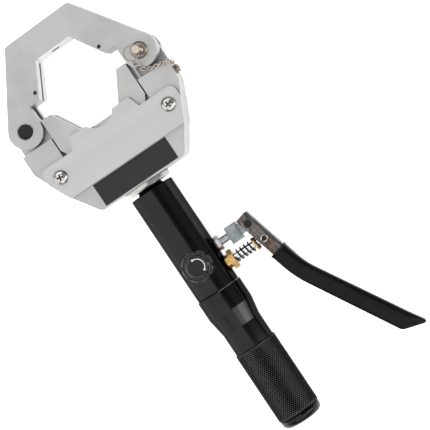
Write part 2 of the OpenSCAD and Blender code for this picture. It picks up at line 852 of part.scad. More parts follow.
// Neck gland: a flange inside the pump body and a threaded neck up into the base frame
module neck_gland() {
    neck_end = -foot_drop + neck_thread_l;
    color(black)
        y_turned([[ram_bore_r, gland_foot], [bore_r - 0.02, gland_foot], [bore_r - 0.02, gland_top],
            [neck_r + 2.4, gland_top], [neck_r + 0.7, body_top + 0.9], [neck_r, body_top + 2.2],
            [neck_r, neck_end - 1], [neck_r - 1, neck_end], [ram_bore_r, neck_end]]);
}

// Pump body: the ram's cylinder above, the pump's bores and passages below
module pump_body() {
    color(black)
        difference() {
            y_turned([[0, body_foot - spigot_end_l], [spigot_end_r - 1, body_foot - spigot_end_l],
                [spigot_end_r, body_foot - spigot_end_l + 1], [spigot_end_r, body_foot],
                [body_r - 0.5, body_foot], [body_r, body_foot + 0.5], [body_r, body_top - 0.6],
                [body_r - 0.6, body_top], [0, body_top]]);
            y_rod(cylinder_foot, body_top + 1, bore_r);
            y_rod(plunger_y, cylinder_foot + 1, passage_r);
            y_rod(cylinder_foot - 2 * ball_r - 2, cylinder_foot + 1, ball_r + 0.3);
            y_rod(body_foot - spigot_end_l - 1, plunger_y, passage_r);
            y_rod(body_foot - spigot_end_l - 1, plunger_y - 12, ball_r + 0.3);
            x_rod(-plunger_stroke - 3, seal_x, plunger_bore_r, plunger_y);
            x_rod(seal_x, body_r + 1, gland_thread_r + fit_gap, plunger_y);
            x_rod(spot_x, body_r + 1, gland_thread_r + 1, plunger_y);
            x_rod(stud_x, body_r + 1, stud_r + fit_gap, fulcrum_y);
            x_rod(spot_x, body_r + 1, nut_r + 0.4, fulcrum_y);
            z_rod(needle_z, body_r + 1, stem_r + fit_gap, [0, knob_y]);
            z_rod(0, needle_z + 1, passage_r, [0, knob_y]);
        }
}

// Inlet ball below the plunger's bore and outlet ball above it
module valve_balls() {
    color(bright)
        for (y = [cylinder_foot - ball_r - 1.9, plunger_y - 12.1 - ball_r])
            translate([0, y, 0])
                sphere(r = ball_r);
}

// Release knob: a scalloped rim round a raised centre
module release_knob() {
    color(black)
        translate([0, knob_y, knob_z])
            difference() {
                rotate_extrude()
                    polygon([[0, 0], [knob_r - 0.6, 0], [knob_r, 0.6], [knob_r, knob_h - 2.4],
                        [knob_r - 1, knob_h - 1.4], [knob_boss_r + 1, knob_h - 1.4],
                        [knob_boss_r, knob_h - 0.6], [knob_boss_r - 0.6, knob_h], [0, knob_h]]);
                for (k = [0 : knob_hollows - 1])
                    rotate([0, 0, 360 * (k + 0.5) / knob_hollows])
                        translate([knob_r + 2.2, 0, -1])
                            cylinder(h = knob_h + 2, r = 3.4);
                translate([0, 0, -1])
                    cylinder(h = 5, r = stem_r + fit_gap);
            }
}

// Release stem: the needle that the knob screws down on to its seat
module release_stem() {
    color(zinc)
        translate([0, knob_y, 0])
            rotate_extrude()
                polygon([[0, needle_z - 0.3], [0.8, needle_z - 0.1], [stem_r, needle_z + 2.4],
                    [stem_r, knob_z + 3.9], [0, knob_z + 3.9]]);
}

// Reservoir housing: a shell that narrows to the waist and is threaded inside both ends
module reservoir_housing() {
    top_r = spigot_end_r + seat_gap;
    color(black)
        y_turned([[inner_r, housing_foot - joint_l], [inner_r + 1.5, housing_foot - joint_l],
            [inner_r + 1.5, housing_foot], [waist_r, housing_foot], [waist_r, cone_foot],
            [waist_r + 0.4, cone_foot + 2], [housing_r - 0.4, cone_top - 2], [housing_r, cone_top],
            [housing_r, housing_top - 0.4], [housing_r - 0.4, housing_top], [top_r, housing_top],
            [top_r, housing_top - spigot_end_l - 1], [inner_r, cone_foot]]);
}

// Knurled grip: the tube that screws on below the waist
module knurled_grip() {
    thread_r = inner_r + 1.5 + seat_gap;
    color([0.2, 0.2, 0.2])
        y_turned([[cap_bore(), grip_foot], [grip_r - 1, grip_foot], [grip_r, grip_foot + 1],
            [grip_r, grip_top - 1], [grip_r - 1, grip_top], [thread_r, grip_top],
            [thread_r, grip_top - joint_l - 0.5], [inner_r, grip_top - joint_l - 0.5],
            [inner_r, grip_foot + joint_l], [cap_bore(), grip_foot + joint_l]]);
}

function cap_bore() = sleeve_bore_r - 1.4;

// End cap: a plug with a rounded rim
module end_cap() {
    plug_r = cap_bore() - seat_gap;
    color(black)
        y_turned([[0, cap_foot], [cap_r - 2.6, cap_foot], [cap_r - 1, cap_foot + 0.8], [cap_r, cap_foot + 2.4],
            [cap_r, cap_top], [plug_r, cap_top], [plug_r, grip_foot + joint_l - 1],
            [0, grip_foot + joint_l - 1]]);
}

// Rubber oil bladder inside the reservoir
module oil_bladder() {
    high = body_foot - spigot_end_l - 0.3;
    low = grip_foot + joint_l + 1;
    color([0.25, 0.22, 0.2])
        y_turned([[0, low], [bladder_r - 3, low], [bladder_r - 0.8, low + 1], [bladder_r, low + 3.5],
            [bladder_r, high - 16], [bladder_r - 1, high - 13], [bladder_neck_r, high - 8],
            [bladder_neck_r, high], [ball_r + 0.3, high], [ball_r + 0.3, high - 9],
            [bladder_r - 2.6, high - 15], [bladder_r - 1.6, high - 18], [bladder_r - 1.6, low + 4],
            [bladder_r - 3, low + 2], [0, low + 1.6]]);
}

module stud_washer() {
    color([0.1, 0.1, 0.1])
        difference() {
            x_rod(washer_x, washer_x + washer_t - 0.05, nut_r - 0.6, fulcrum_y);
            x_rod(washer_x - 1, washer_x + washer_t + 1, stud_r + fit_gap, fulcrum_y);
        }
}

// A six-sided prism along X with two corners up and down
module x_hex(low, high, r, y) {
    translate([low, y, 0])
        rotate([0, 90, 0])
            rotate([0, 0, 90])
                cylinder(h = high - low, r = r, $fn = 6);
}

module lock_nut() {
    color(bright)
        difference() {
            intersection() {
                x_hex(nut_x, nut_end, nut_r, fulcrum_y);
                translate([nut_x, fulcrum_y, 0])
                    rotate([0, 90, 0])
                        cylinder(h = nut_t, r1 = nut_r + 0.9, r2 = nut_r - 0.4);
            }
            x_rod(nut_x - 1, nut_end + 1, stud_r + fit_gap, fulcrum_y);
        }
}

// Fulcrum block: a threaded stud, a square block and the tongue that holds the fulcrum pin
module fulcrum_block() {
    tongue_low = 5.2;
    color(zinc)
        difference() {
            union() {
                x_rod(stud_x + 0.2, block_x + 1, stud_r, fulcrum_y);
                translate([block_x, fulcrum_y - block_h / 2, -channel_w / 2])
                    cube([block_l, block_h, channel_w]);
                translate([0, 0, -channel_in + slide_gap])
                    linear_extrude(2 * (channel_in - slide_gap))
                        band_2d([block_end - 2, fulcrum_y], tongue_low, fulcrum_at, tongue_r_end);
            }
            z_rod(-far, far, lever_pin_r + fit_gap, fulcrum_at);
        }
}

// A pin through both sides of the lever, with a round head on each side
module lever_pin(at) {
    half = channel_w / 2;
    translate([at[0], at[1], 0])
        rotate_extrude()
            polygon([[0, -half - 1], [pin_head_r - 0.4, -half - 1], [pin_head_r, -half - 0.6],
                [pin_head_r, -half - 0.05], [lever_pin_r, -half - 0.05], [lever_pin_r, half + 0.05],
                [pin_head_r, half + 0.05], [pin_head_r, half + 0.6], [pin_head_r - 0.4, half + 1],
                [0, half + 1]]);
}

module fulcrum_pin() {
    color(black)
        lever_pin(fulcrum_at);
}

module plunger_pin() {
    color(black)
        lever_pin(lever_pin_at);
}

// Places its children in the lever's frame: X across the lever, -Y down along it
module on_lever() {
    translate([fulcrum_at[0], fulcrum_at[1], 0])
        rotate([0, 0, lever_tilt])
            children();
}

// A flat band along the lever between two offsets, round its bend and on past it
module lever_band(inner, outer, tail) {
    centre = [bend_r, -lever_neck_l];
    reach = 2 * bend_r;
    translate([inner, -lever_neck_l])
        square([outer - inner, lever_neck_l + lever_head_l]);
    intersection() {
        translate(centre)
            difference() {
                circle(r = bend_r - inner, $fn = 128);
                circle(r = bend_r - outer, $fn = 128);
            }
        polygon([centre, centre - [reach, 0], centre - reach * [cos(lever_bend), sin(lever_bend)]]);
    }
    translate(centre)
        rotate(lever_bend)
            translate([inner - bend_r, -tail])
                square([outer - inner, tail]);
}

// Lever: a pressed steel channel, open towards the pump body
module lever_channel() {
    color([0.55, 0.52, 0.5])
        difference() {
            on_lever()
                difference() {
                    translate([0, 0, -channel_w / 2])
                        linear_extrude(channel_w)
                            lever_band(-lever_inner, lever_outer, lever_tail_l);
                    translate([0, 0, -channel_in])
                        linear_extrude(2 * channel_in)
                            lever_cavity();
                    for (side = [0, 1])
                        mirror([0, 0, side])
                            back_edge();
                }
            z_rod(-far, far, lever_pin_r + fit_gap, fulcrum_at);
            z_rod(-far, far, lever_pin_r + fit_gap, lever_pin_at);
        }
}

// What the bevel takes off the front back-edge of the channel: down the neck, round the bend and down the tail
module back_edge() {
    centre = [bend_r, -lever_neck_l, 0];
    half = channel_w / 2;
    out = lever_outer + 1;
    corner = [[lever_outer - back_bevel - 1, half + 1], [out, half - back_bevel - 1], [out, half + 1]];
    translate([0, lever_head_l + 1, 0])
        rotate([90, 0, 0])
            linear_extrude(lever_neck_l + lever_head_l + 1)
                polygon(corner);
    translate(centre)
        rotate([0, 0, 180])
            rotate_extrude(angle = lever_bend)
                polygon([for (p = corner) [bend_r - p[0], p[1]]]);
    translate(centre)
        rotate([0, 0, lever_bend])
            rotate([90, 0, 0])
                linear_extrude(lever_tail_l + 1)
                    polygon([for (p = corner) [p[0] - bend_r, p[1]]]);
}

// The hollow of the channel, which runs out at both ends
module lever_cavity() {
    lever_band(-lever_inner - 1, lever_outer - lever_wall, lever_tail_l + 1);
    translate([-lever_inner - 1, 0])
        square([lever_outer - lever_wall + lever_inner + 1, lever_head_l + 1]);
}

// Rings of the handle: rounded rectangles across the lever's path
handle_rings = 22;
handle_points = 20;
bend_len = bend_r * lever_bend * PI / 180;
handle_run = lever_neck_l - handle_start + bend_len + handle_l;

// Place and direction of the lever's path at a distance from the handle's upper end
function path_angle(s) =
    let (t = s - (lever_neck_l - handle_start))
    t <= 0 ? 0 : t >= bend_len ? lever_bend : lever_bend * t / bend_len;

function path_at(s) =
    let (t = s - (lever_neck_l - handle_start), a = path_angle(s), past = max(0, t - bend_len))
    t <= 0
        ? [0, -handle_start - s]
        : [bend_r - bend_r * cos(a) + past * sin(a), -lever_neck_l - bend_r * sin(a) - past * cos(a)];

// A point of a rounded rectangle between two offsets across the lever
function handle_point(s, inner, outer, side, j, n) =
    let (a = 360 * (j + 0.5) / n, c = cos(a), d = sin(a), p = 0.45,
        x = (inner + outer) / 2 + (outer - inner) / 2 * sign(c) * pow(abs(c), p),
        z = side * sign(d) * pow(abs(d), p),
        b = path_angle(s), at = path_at(s))
    [at[0] + x * cos(b), at[1] + x * sin(b), z];

function handle_ring(s, inset) =
    let (grow = handle_flare * s / handle_run, slant = max(0, s - handle_run + handle_slant),
        inner = -lever_inner - handle_wall - grow / 2 + inset + slant * 0.83,
        outer = lever_outer + handle_wall + grow - inset - max(0, slant - handle_slant + 2) * 0.6)
    [for (j = [0 : handle_points - 1])
        handle_point(s, inner, outer, handle_side - inset - slant * 0.12, j, handle_points)];

// Handle: a soft sleeve over the channel, closed and slanted at its end
module lever_handle() {
    pocket_run = lever_neck_l - handle_start + bend_len + lever_tail_l + 1;
    n = handle_points;
    outer_s = [for (k = [0 : handle_rings]) handle_run * k / handle_rings];
    inner_s = [for (k = [12 : -1 : 0]) pocket_run * k / 12];
    floor_at = path_at(pocket_run);
    points = concat(
        [for (s = outer_s) each handle_ring(s, s == 0 ? 0.4 : 0)],
        [for (s = inner_s) each pocket_ring(s)],
        [[floor_at[0], floor_at[1], 0]]);
    rings = len(outer_s) + len(inner_s);
    split = len(outer_s) - 1;
    walls = [for (k = [0 : rings - 2], j = [0 : n - 1])
        let (m = (j + 1) % n, a = k * n, b = a + n)
        if (k != split)
            each [[a + j, b + j, b + m], [a + j, b + m, a + m]]];
    rim_a = (rings - 1) * n;
    rim = [for (j = [0 : n - 1])
        let (m = (j + 1) % n)
        each [[rim_a + j, j, m], [rim_a + j, m, rim_a + m]]];
    end_a = split * n;
    tip = [for (j = [1 : n - 2]) [end_a, end_a + j + 1, end_a + j]];
    floor_a = (split + 1) * n;
    pocket_floor = [for (j = [0 : n - 1]) [rings * n, floor_a + j, floor_a + (j + 1) % n]];
    color(black)
        on_lever()
            polyhedron(points, concat(walls, rim, tip, pocket_floor));
}

function pocket_ring(s) =
    [for (j = [0 : handle_points - 1])
        pocket_point(s, -lever_inner - 0.2, lever_outer + 0.2, channel_w / 2 + 0.2, j)];

// A point of the pocket: a rectangle with hardly rounded corners
function pocket_point(s, inner, outer, side, j) =
    let (a = 360 * (j + 0.5) / handle_points, c = cos(a), d = sin(a), m = max(abs(c), abs(d)),
        x = (inner + outer) / 2 + (outer - inner) / 2 * c / m, z = side * d / m,
        b = path_angle(s), at = path_at(s))
    [at[0] + x * cos(b), at[1] + x * sin(b), z];

// Gland nut: a threaded spigot, a round collar and a six-sided head
module gland_nut() {
    collar_end = gland_x + gland_collar_t;
    color(brass)
        difference() {
            union() {
                x_rod(gland_thread_x, gland_x + 0.5, gland_thread_r, plunger_y);
                x_rod(gland_x, collar_end, gland_thread_r + 0.3, plunger_y);
                intersection() {
                    x_hex(collar_end, gland_face, gland_r, plunger_y);
                    translate([collar_end, plunger_y, 0])
                        rotate([0, 90, 0])
                            cylinder(h = gland_hex_t, r1 = gland_r + 1.4, r2 = gland_r - 0.4);
                }
            }
            x_rod(gland_thread_x - 1, gland_face + 1, plunger_bore_r, plunger_y);
        }
}

module plunger_seal() {
    color([0.12, 0.12, 0.12])
        difference() {
            x_rod(seal_x + 0.1, gland_thread_x - 0.1, gland_thread_r - 0.1, plunger_y);
            x_rod(seal_x - 1, gland_thread_x + 1, plunger_bore_r, plunger_y);
        }
}

// Plunger: a ground rod with a flat eye, slotted for the lever's pin
module plunger() {
    slot_drop = 0.7;
    slot_r = lever_pin_r + 0.2;
    eye_r = tongue_r_end - 0.1;
    eye_x = lever_pin_at[0];
    color(bright)
        difference() {
            union() {
                x_rod(-2, eye_x - 4.5, plunger_r, plunger_y);
                translate([0, 0, -eye_half])
                    linear_extrude(2 * eye_half)
                        band_2d([eye_x - 3, plunger_y], 3.2, [eye_x, plunger_y - slot_drop / 2], eye_r);
            }
            for (drop = [0, slot_drop])
                z_rod(-far, far, slot_r, [eye_x, plunger_y - drop]);
            translate([eye_x - slot_r, plunger_y - slot_drop, -far])
                cube([2 * slot_r, slot_drop, 2 * far]);
        }
}

// Plunger's return spring, between the gland nut and the spring plate
module plunger_spring() {
    color(black)
        translate([spring_x, plunger_y, 0])
            rotate([0, 90, 0])
                coil(coil_r, coil_wire_r, spring_pitch, coil_turns);
}

// A washer on the plunger that leans towards the lever, from one depth to another behind the spring
module leaning_washer(low, high, r) {
    translate([retainer_x, plunger_y, 0])
        rotate([0, 0, retainer_tilt])
            rotate([0, 90, 0])
                translate([0, 0, low])
                    difference() {
                        cylinder(h = high - low, r = r);
                        translate([0, 0, -1])
                            cylinder(h = high - low + 2, r = plunger_r + slide_gap);
                    }
}

module spring_plate() {
    color(brass)
        leaning_washer(-retainer_t, 0, retainer_r);
}

module spring_washer() {
    color([0.12, 0.12, 0.12])
        leaning_washer(seat_gap, 1.1, retainer_r - 0.7);
}

upper_jaw();
hinge_pin();
latch_pin();
pull_ring();
safety_chain();
chain_screw();
base_frame();
front_cover_plate();
rear_cover_plate();
front_screws();
rear_screws();
label_panel();
die_seat();
ram();
ram_seal();
return_spring();
neck_collar();
neck_gland();
pump_body();
valve_balls();
release_knob();
release_stem();
reservoir_housing();
knurled_grip();
end_cap();
oil_bladder();
stud_washer();
lock_nut();
fulcrum_block();
fulcrum_pin();
lever_channel();
lever_handle();
plunger_pin();
gland_nut();
plunger_seal();
plunger();
plunger_spring();
spring_plate();
spring_washer();
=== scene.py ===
"""Looks of a hand-pumped hydraulic hose crimper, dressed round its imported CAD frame.

The tool lies on its back: +Y runs from the grip up through the head, +Z comes out of the front face and
+X points to the pump lever. Meshes are in metres, and a value whose name ends in _mm is in millimetres.
"""
import json
import logging
import math
from collections.abc import Iterator
from contextlib import contextmanager
from dataclasses import dataclass, field
from enum import Enum
from typing import Any

import bmesh
import bpy
import numpy as np
from mathutils import Matrix, Quaternion, Vector

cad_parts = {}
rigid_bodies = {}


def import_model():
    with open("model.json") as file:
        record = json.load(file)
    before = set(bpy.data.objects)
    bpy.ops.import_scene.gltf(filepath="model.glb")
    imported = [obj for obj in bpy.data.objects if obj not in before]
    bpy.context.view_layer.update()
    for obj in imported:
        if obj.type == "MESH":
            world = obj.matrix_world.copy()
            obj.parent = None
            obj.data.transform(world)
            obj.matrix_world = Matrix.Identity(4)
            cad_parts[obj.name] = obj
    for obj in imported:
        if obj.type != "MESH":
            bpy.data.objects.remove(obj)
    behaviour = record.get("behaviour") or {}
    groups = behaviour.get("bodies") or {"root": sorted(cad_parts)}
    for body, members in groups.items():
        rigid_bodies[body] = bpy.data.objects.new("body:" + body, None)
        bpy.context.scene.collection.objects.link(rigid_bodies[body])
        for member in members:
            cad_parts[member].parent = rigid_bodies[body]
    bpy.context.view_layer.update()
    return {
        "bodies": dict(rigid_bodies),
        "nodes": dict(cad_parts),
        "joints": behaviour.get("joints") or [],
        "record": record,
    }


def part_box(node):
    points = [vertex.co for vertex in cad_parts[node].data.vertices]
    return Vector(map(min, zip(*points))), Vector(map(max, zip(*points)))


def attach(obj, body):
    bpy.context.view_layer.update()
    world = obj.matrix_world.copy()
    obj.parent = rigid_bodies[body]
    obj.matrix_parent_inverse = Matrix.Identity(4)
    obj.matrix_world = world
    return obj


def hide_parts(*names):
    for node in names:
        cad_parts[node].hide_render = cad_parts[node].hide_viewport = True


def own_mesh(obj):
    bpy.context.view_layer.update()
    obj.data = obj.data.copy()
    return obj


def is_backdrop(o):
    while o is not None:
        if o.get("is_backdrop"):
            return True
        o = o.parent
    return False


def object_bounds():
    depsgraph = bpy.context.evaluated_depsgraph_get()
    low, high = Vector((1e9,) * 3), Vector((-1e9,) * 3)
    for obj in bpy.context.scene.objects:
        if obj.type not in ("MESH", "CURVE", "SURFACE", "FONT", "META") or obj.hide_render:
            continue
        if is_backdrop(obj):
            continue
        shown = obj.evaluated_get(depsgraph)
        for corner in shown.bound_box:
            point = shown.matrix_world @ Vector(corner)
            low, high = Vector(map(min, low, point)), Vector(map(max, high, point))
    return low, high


LOG = logging.getLogger("hose_crimper")
MM = 0.001
# Points closer than this are one, in metres: at a new piece's seams and poles, and in a copied CAD mesh
SEAM = 1e-7
CAD_SEAM = 2e-6
# A face narrower than this is a sliver, in metres
SLIVER = 1e-6
# Faces that meet at less than this angle are one
FLAT_DEG = 0.6
# A rounded corner takes at most this share of each of its sides
CORNER_SHARE = 0.45
# Edges shorter than this belong to the rims of small holes
SHORT_EDGE_MM = 0.45
# A face looks along a direction if its normal's share of it is above this
FACING = 0.99
# Nearly all of a noise's values lie in this span
NOISE_SPAN = (0.3, 0.7)
# Spots grow full over this span of their own noise, whose marks are this much smaller than the drift
SPOT_SPAN = (0.46, 0.62)
SPOTS_PER_DRIFT = 2.2


class Axis(Enum):
    """The axis that a spring is wound about, with the two axes across it."""

    X = (0, 1, 2)
    Y = (1, 2, 0)


# Colour and shader nodes


def linear(hex_colour: str) -> tuple[float, float, float, float]:
    """Turns an sRGB hex value into the linear colour that a shader socket takes.

    Args:
        hex_colour: Six hex digits after a hash sign.

    Returns:
        Linear red, green, blue and an alpha of 1.
    """
    channels = [int(hex_colour[i : i + 2], 16) / 255 for i in (1, 3, 5)]
    red, green, blue = (c / 12.92 if c <= 0.04045 else ((c + 0.055) / 1.055) ** 2.4 for c in channels)
    return red, green, blue, 1.0


def add_node(
    tree: bpy.types.NodeTree, kind: str, inputs: dict[str | int, Any] | None = None, **settings: Any
) -> bpy.types.Node:
    """Adds one node with its settings, values and links.

    Args:
        tree: The node tree that gets the node.
        kind: The node's type name.
        inputs: Socket name or number to a value, or to the output socket that feeds it.
        settings: Properties of the node itself.

    Returns:
        The new node.
    """
    node = tree.nodes.new(kind)
    for name, value in settings.items():
        setattr(node, name, value)
    for name, value in (inputs or {}).items():
        if isinstance(value, bpy.types.NodeSocket):
            tree.links.new(value, node.inputs[name])
        else:
            node.inputs[name].default_value = value
    return node


def colour_step(
    tree: bpy.types.NodeTree, value: bpy.types.NodeSocket, span: tuple[float, float], below: Any, above: Any
) -> bpy.types.NodeSocket:
    """Goes smoothly from one colour to another as a value crosses a span.

    Args:
        tree: The node tree that gets the nodes.
        value: The socket of the value.
        span: Where the first colour ends, and where the second is full.
        below: The first colour, or the socket that gives it.
        above: The second colour, or the socket that gives it.

    Returns:
        The socket of the mixed colour.
    """
    share = add_node(
        tree,
        "ShaderNodeMapRange",
        {"Value": value, "From Min": span[0], "From Max": span[1]},
        interpolation_type="SMOOTHSTEP",
    )
    mixed = add_node(tree, "ShaderNodeMix", {0: share.outputs[0], 6: below, 7: above}, data_type="RGBA")
    return mixed.outputs[2]


@dataclass(frozen=True)
class Finish:
    """A surface finish: a base colour that drifts, a roughness that varies and a fine relief.

    grain_mm is the size of the finest marks and drift_mm that of the slow tone changes. stretch lengthens
    the marks along X, Y and Z, as a grinding or drawing direction does. spots is the colour of patches that
    are smaller than the drift. gloss is the strength of the reflection on what isn't metal, where 0.5 is an
    IOR of 1.5. A painted shade colour darkens holes, slots and inner corners narrower than about its
    distance, fully where less of the sky than the first share of its open span is seen and not at all above
    the second. A colour of rubbed wear, which is also a painted highlight, goes to what stands furthest
    from the Y axis, between the two distances from it.
    """

    name: str
    dark: str
    light: str
    metallic: float
    roughness: tuple[float, float]
    grain_mm: float
    drift_mm: float
    relief_mm: float
    stretch: tuple[float, float, float] = (1.0, 1.0, 1.0)
    spots: str | None = None
    gloss: float = 0.5
    edge_tint: str = "#FFFFFF"
    painted_shade: str | None = None
    painted_shade_mm: float = 2.0
    painted_shade_open: tuple[float, float] = (0.2, 0.5)
    wear_and_highlight: str | None = None
    wear_and_highlight_from_mm: float = 0.0
    wear_and_highlight_to_mm: float = 0.0

    def build(self) -> bpy.types.Material:
        """Makes the finish's material.

        Returns:
            The material, with its nodes.
        """
        material = bpy.data.materials.new(self.name)
        material.use_nodes = True
        tree = material.node_tree
        tree.nodes.clear()
        place = add_node(tree, "ShaderNodeTexCoord").outputs["Object"]
        lengthened = [1 / s for s in self.stretch]
        drawn = add_node(tree, "ShaderNodeMapping", {"Vector": place, "Scale": lengthened}).outputs[0]
        grain = add_node(
            tree,
            "ShaderNodeTexNoise",
            {"Vector": drawn, "Scale": 1 / (self.grain_mm * MM), "Detail": 3.0, "Roughness": 0.6},
        ).outputs["Fac"]
        drift = add_node(
            tree,
            "ShaderNodeTexNoise",
            {"Vector": drawn, "Scale": 1 / (self.drift_mm * MM), "Detail": 4.0, "Roughness": 0.55},
        ).outputs["Fac"]
        colour = colour_step(tree, drift, NOISE_SPAN, linear(self.dark), linear(self.light))
        if self.spots is not None:
            scale = SPOTS_PER_DRIFT / (self.drift_mm * MM)
            patch = add_node(
                tree,
                "ShaderNodeTexNoise",
                {"Vector": drawn, "Scale": scale, "Detail": 6.0, "Roughness": 0.7},
            ).outputs["Fac"]
            colour = colour_step(tree, patch, SPOT_SPAN, colour, linear(self.spots))
        # Rubbed wear and painted highlight: what stands furthest from the Y axis, such as the knurl's tips,
        # turns lighter
        if self.wear_and_highlight is not None:
            across = add_node(
                tree, "ShaderNodeVectorMath", {0: place, 1: (1, 0, 1)}, operation="MULTIPLY"
            ).outputs[0]
            away = add_node(tree, "ShaderNodeVectorMath", {0: across}, operation="LENGTH").outputs["Value"]
            span = (self.wear_and_highlight_from_mm * MM, self.wear_and_highlight_to_mm * MM)
            colour = colour_step(tree, away, span, colour, linear(self.wear_and_highlight))
        # Painted shade: a dark colour where little of the sky is seen, in holes, slots and inner corners
        if self.painted_shade is not None:
            sky = add_node(
                tree,
                "ShaderNodeAmbientOcclusion",
                {"Distance": self.painted_shade_mm * MM},
                only_local=True,
                samples=8,
            ).outputs["AO"]
            colour = colour_step(tree, sky, self.painted_shade_open, linear(self.painted_shade), colour)
        rough = add_node(
            tree,
            "ShaderNodeMapRange",
            {
                "Value": grain,
                "From Min": NOISE_SPAN[0],
                "From Max": NOISE_SPAN[1],
                "To Min": self.roughness[0],
                "To Max": self.roughness[1],
            },
        ).outputs[0]
        bump = add_node(
            tree, "ShaderNodeBump", {"Height": grain, "Distance": self.relief_mm * MM, "Strength": 1.0}
        ).outputs[0]
        shader = add_node(
            tree,
            "ShaderNodeBsdfPrincipled",
            {
                "Base Color": colour,
                "Metallic": self.metallic,
                "Roughness": rough,
                "Normal": bump,
                "Specular IOR Level": self.gloss,
                "Specular Tint": linear(self.edge_tint),
            },
        )
        add_node(tree, "ShaderNodeOutputMaterial", {"Surface": shader.outputs[0]})
        return material


# Blasted and nickel-plated tool steel: an even light grey satin with a fine tooth, and painted shade in its
# holes, slots and inner corners
FRAME_STEEL = Finish(
    "blasted_nickel_plated_steel", "#989898", "#A6A6A5", metallic=0.85, roughness=(0.34, 0.44),
    grain_mm=0.6, drift_mm=38.0, relief_mm=0.012, painted_shade="#0A0908", painted_shade_mm=4.5,
    painted_shade_open=(0.28, 0.56),
)
# The die flats, ground after plating: whiter and smoother, so they mirror the pale bench, with painted
# shade in their corners
GROUND_FLAT = Finish(
    "ground_die_flat", "#9A9A99", "#A6A6A5", metallic=0.95, roughness=(0.24, 0.34), grain_mm=0.5,
    drift_mm=20.0, relief_mm=0.002, painted_shade="#141210",
)
# The eased edges of the head's pieces: polished smoother than the faces, and painted brighter as a painted
# highlight along the edges
POLISHED_EDGE_HIGHLIGHT = Finish(
    "polished_steel_edge_painted_highlight", "#B4B4B3", "#C6C6C5", metallic=1.0, roughness=(0.14, 0.22), grain_mm=0.4,
    drift_mm=12.0, relief_mm=0.001,
)
# Surface-ground and plated sheet: a little lighter, with faint marks along X
PLATE_STEEL = Finish(
    "ground_plated_steel", "#A0A1A0", "#ABACAB", metallic=0.85, roughness=(0.3, 0.4), grain_mm=0.4,
    drift_mm=45.0, relief_mm=0.006, stretch=(14.0, 1.0, 1.0),
)
# Bright zinc plating on the collar, the lock nut and the plunger pin: sharp reflections, and painted shade
# in their recesses
BRIGHT_ZINC = Finish(
    "bright_zinc_plating", "#A3A19E", "#B5B3B0", metallic=1.0, roughness=(0.24, 0.34), grain_mm=0.8,
    drift_mm=9.0, relief_mm=0.0006, painted_shade="#1E1814", painted_shade_mm=2.6,
)
# The same plating on the pan heads, with painted shade, dark brown, in the cross recess
SCREW_ZINC = Finish(
    "zinc_plated_screw", "#A3A19E", "#B5B3B0", metallic=1.0, roughness=(0.22, 0.32), grain_mm=0.8,
    drift_mm=9.0, relief_mm=0.0006, painted_shade="#2A1C12", painted_shade_mm=3.2, painted_shade_open=(0.45, 0.72),
)
# Ground and polished plunger, ram, needle and valve balls: near mirror
GROUND_STEEL = Finish(
    "ground_steel", "#B5B5B6", "#C6C6C7", metallic=1.0, roughness=(0.12, 0.2), grain_mm=0.3, drift_mm=5.0,
    relief_mm=0.0005,
)
# Bright nickel plating on the latch pin, its ring and the chain's screw: greyer and warmer than zinc, with
# painted shade under the pin's head and in other recesses
WARM_NICKEL = Finish(
    "bright_nickel_plating", "#8C8276", "#A0968B", metallic=1.0, roughness=(0.3, 0.4), grain_mm=0.4,
    drift_mm=4.0, relief_mm=0.001, painted_shade="#1E1814", painted_shade_mm=4.0, painted_shade_open=(0.4, 0.78),
)
# The latch pin's end face: the same nickel painted paler than its sides, a painted light on the face turned
# up to the lamps
PIN_FACE_PAINTED_LIGHT = Finish(
    "nickel_pin_face_painted_light", "#B5A999", "#C9BDAE", metallic=0.9, roughness=(0.36, 0.46), grain_mm=0.4,
    drift_mm=3.0, relief_mm=0.003,
)
# The same plating on the chain's wire, with painted shade where the links meet
DULL_NICKEL = Finish(
    "dull_nickel_plating", "#8E8479", "#CFC6BA", metallic=1.0, roughness=(0.12, 0.22), grain_mm=0.4,
    drift_mm=1.6, relief_mm=0.001, painted_shade="#0E0B08", painted_shade_mm=1.4, painted_shade_open=(0.35, 0.72),
)
# Black oxide on pins: dark and slightly dull
BLACK_OXIDE = Finish(
    "black_oxide", "#111113", "#1B1B1D", metallic=0.4, roughness=(0.38, 0.5), grain_mm=0.4, drift_mm=5.0,
    relief_mm=0.003, gloss=0.3,
)
# Hard black anodising on turned aluminium: deep black under a clean reflection, fine turning rings
BLACK_ANODISED = Finish(
    "black_anodised_aluminium", "#282728", "#2C2B2C", metallic=1.0, roughness=(0.17, 0.23), grain_mm=0.35,
    drift_mm=30.0, relief_mm=0.0004, stretch=(12.0, 1.0, 12.0), edge_tint="#B4B4B4",
)
# A painted highlight on the housing's upper chamfer: a bright metal colour on the anodising
CHAMFER_PAINTED_HIGHLIGHT = Finish(
    "anodised_chamfer_painted_highlight", "#7E7C7C", "#A4A2A2", metallic=1.0, roughness=(0.3, 0.4), grain_mm=0.3,
    drift_mm=2.0, relief_mm=0.001,
)
# The same anodising on the knurl: black grooves between tips painted grey, partly rubbed wear and partly a
# painted highlight
KNURL_ANODISED = Finish(
    "black_anodised_knurl", "#151515", "#1B1B1B", metallic=1.0, roughness=(0.3, 0.4), grain_mm=0.4,
    drift_mm=20.0, relief_mm=0.0005, edge_tint="#B8B8B8", wear_and_highlight="#706E6E", wear_and_highlight_from_mm=19.01,
    wear_and_highlight_to_mm=19.35,
)
# Black nylon of the end cap: glossy, with a reflection that grows towards its edge
BLACK_NYLON = Finish(
    "glossy_black_nylon", "#070707", "#0A0A0A", metallic=0.0, roughness=(0.1, 0.16), grain_mm=0.35,
    drift_mm=20.0, relief_mm=0.0005, gloss=0.2,
)
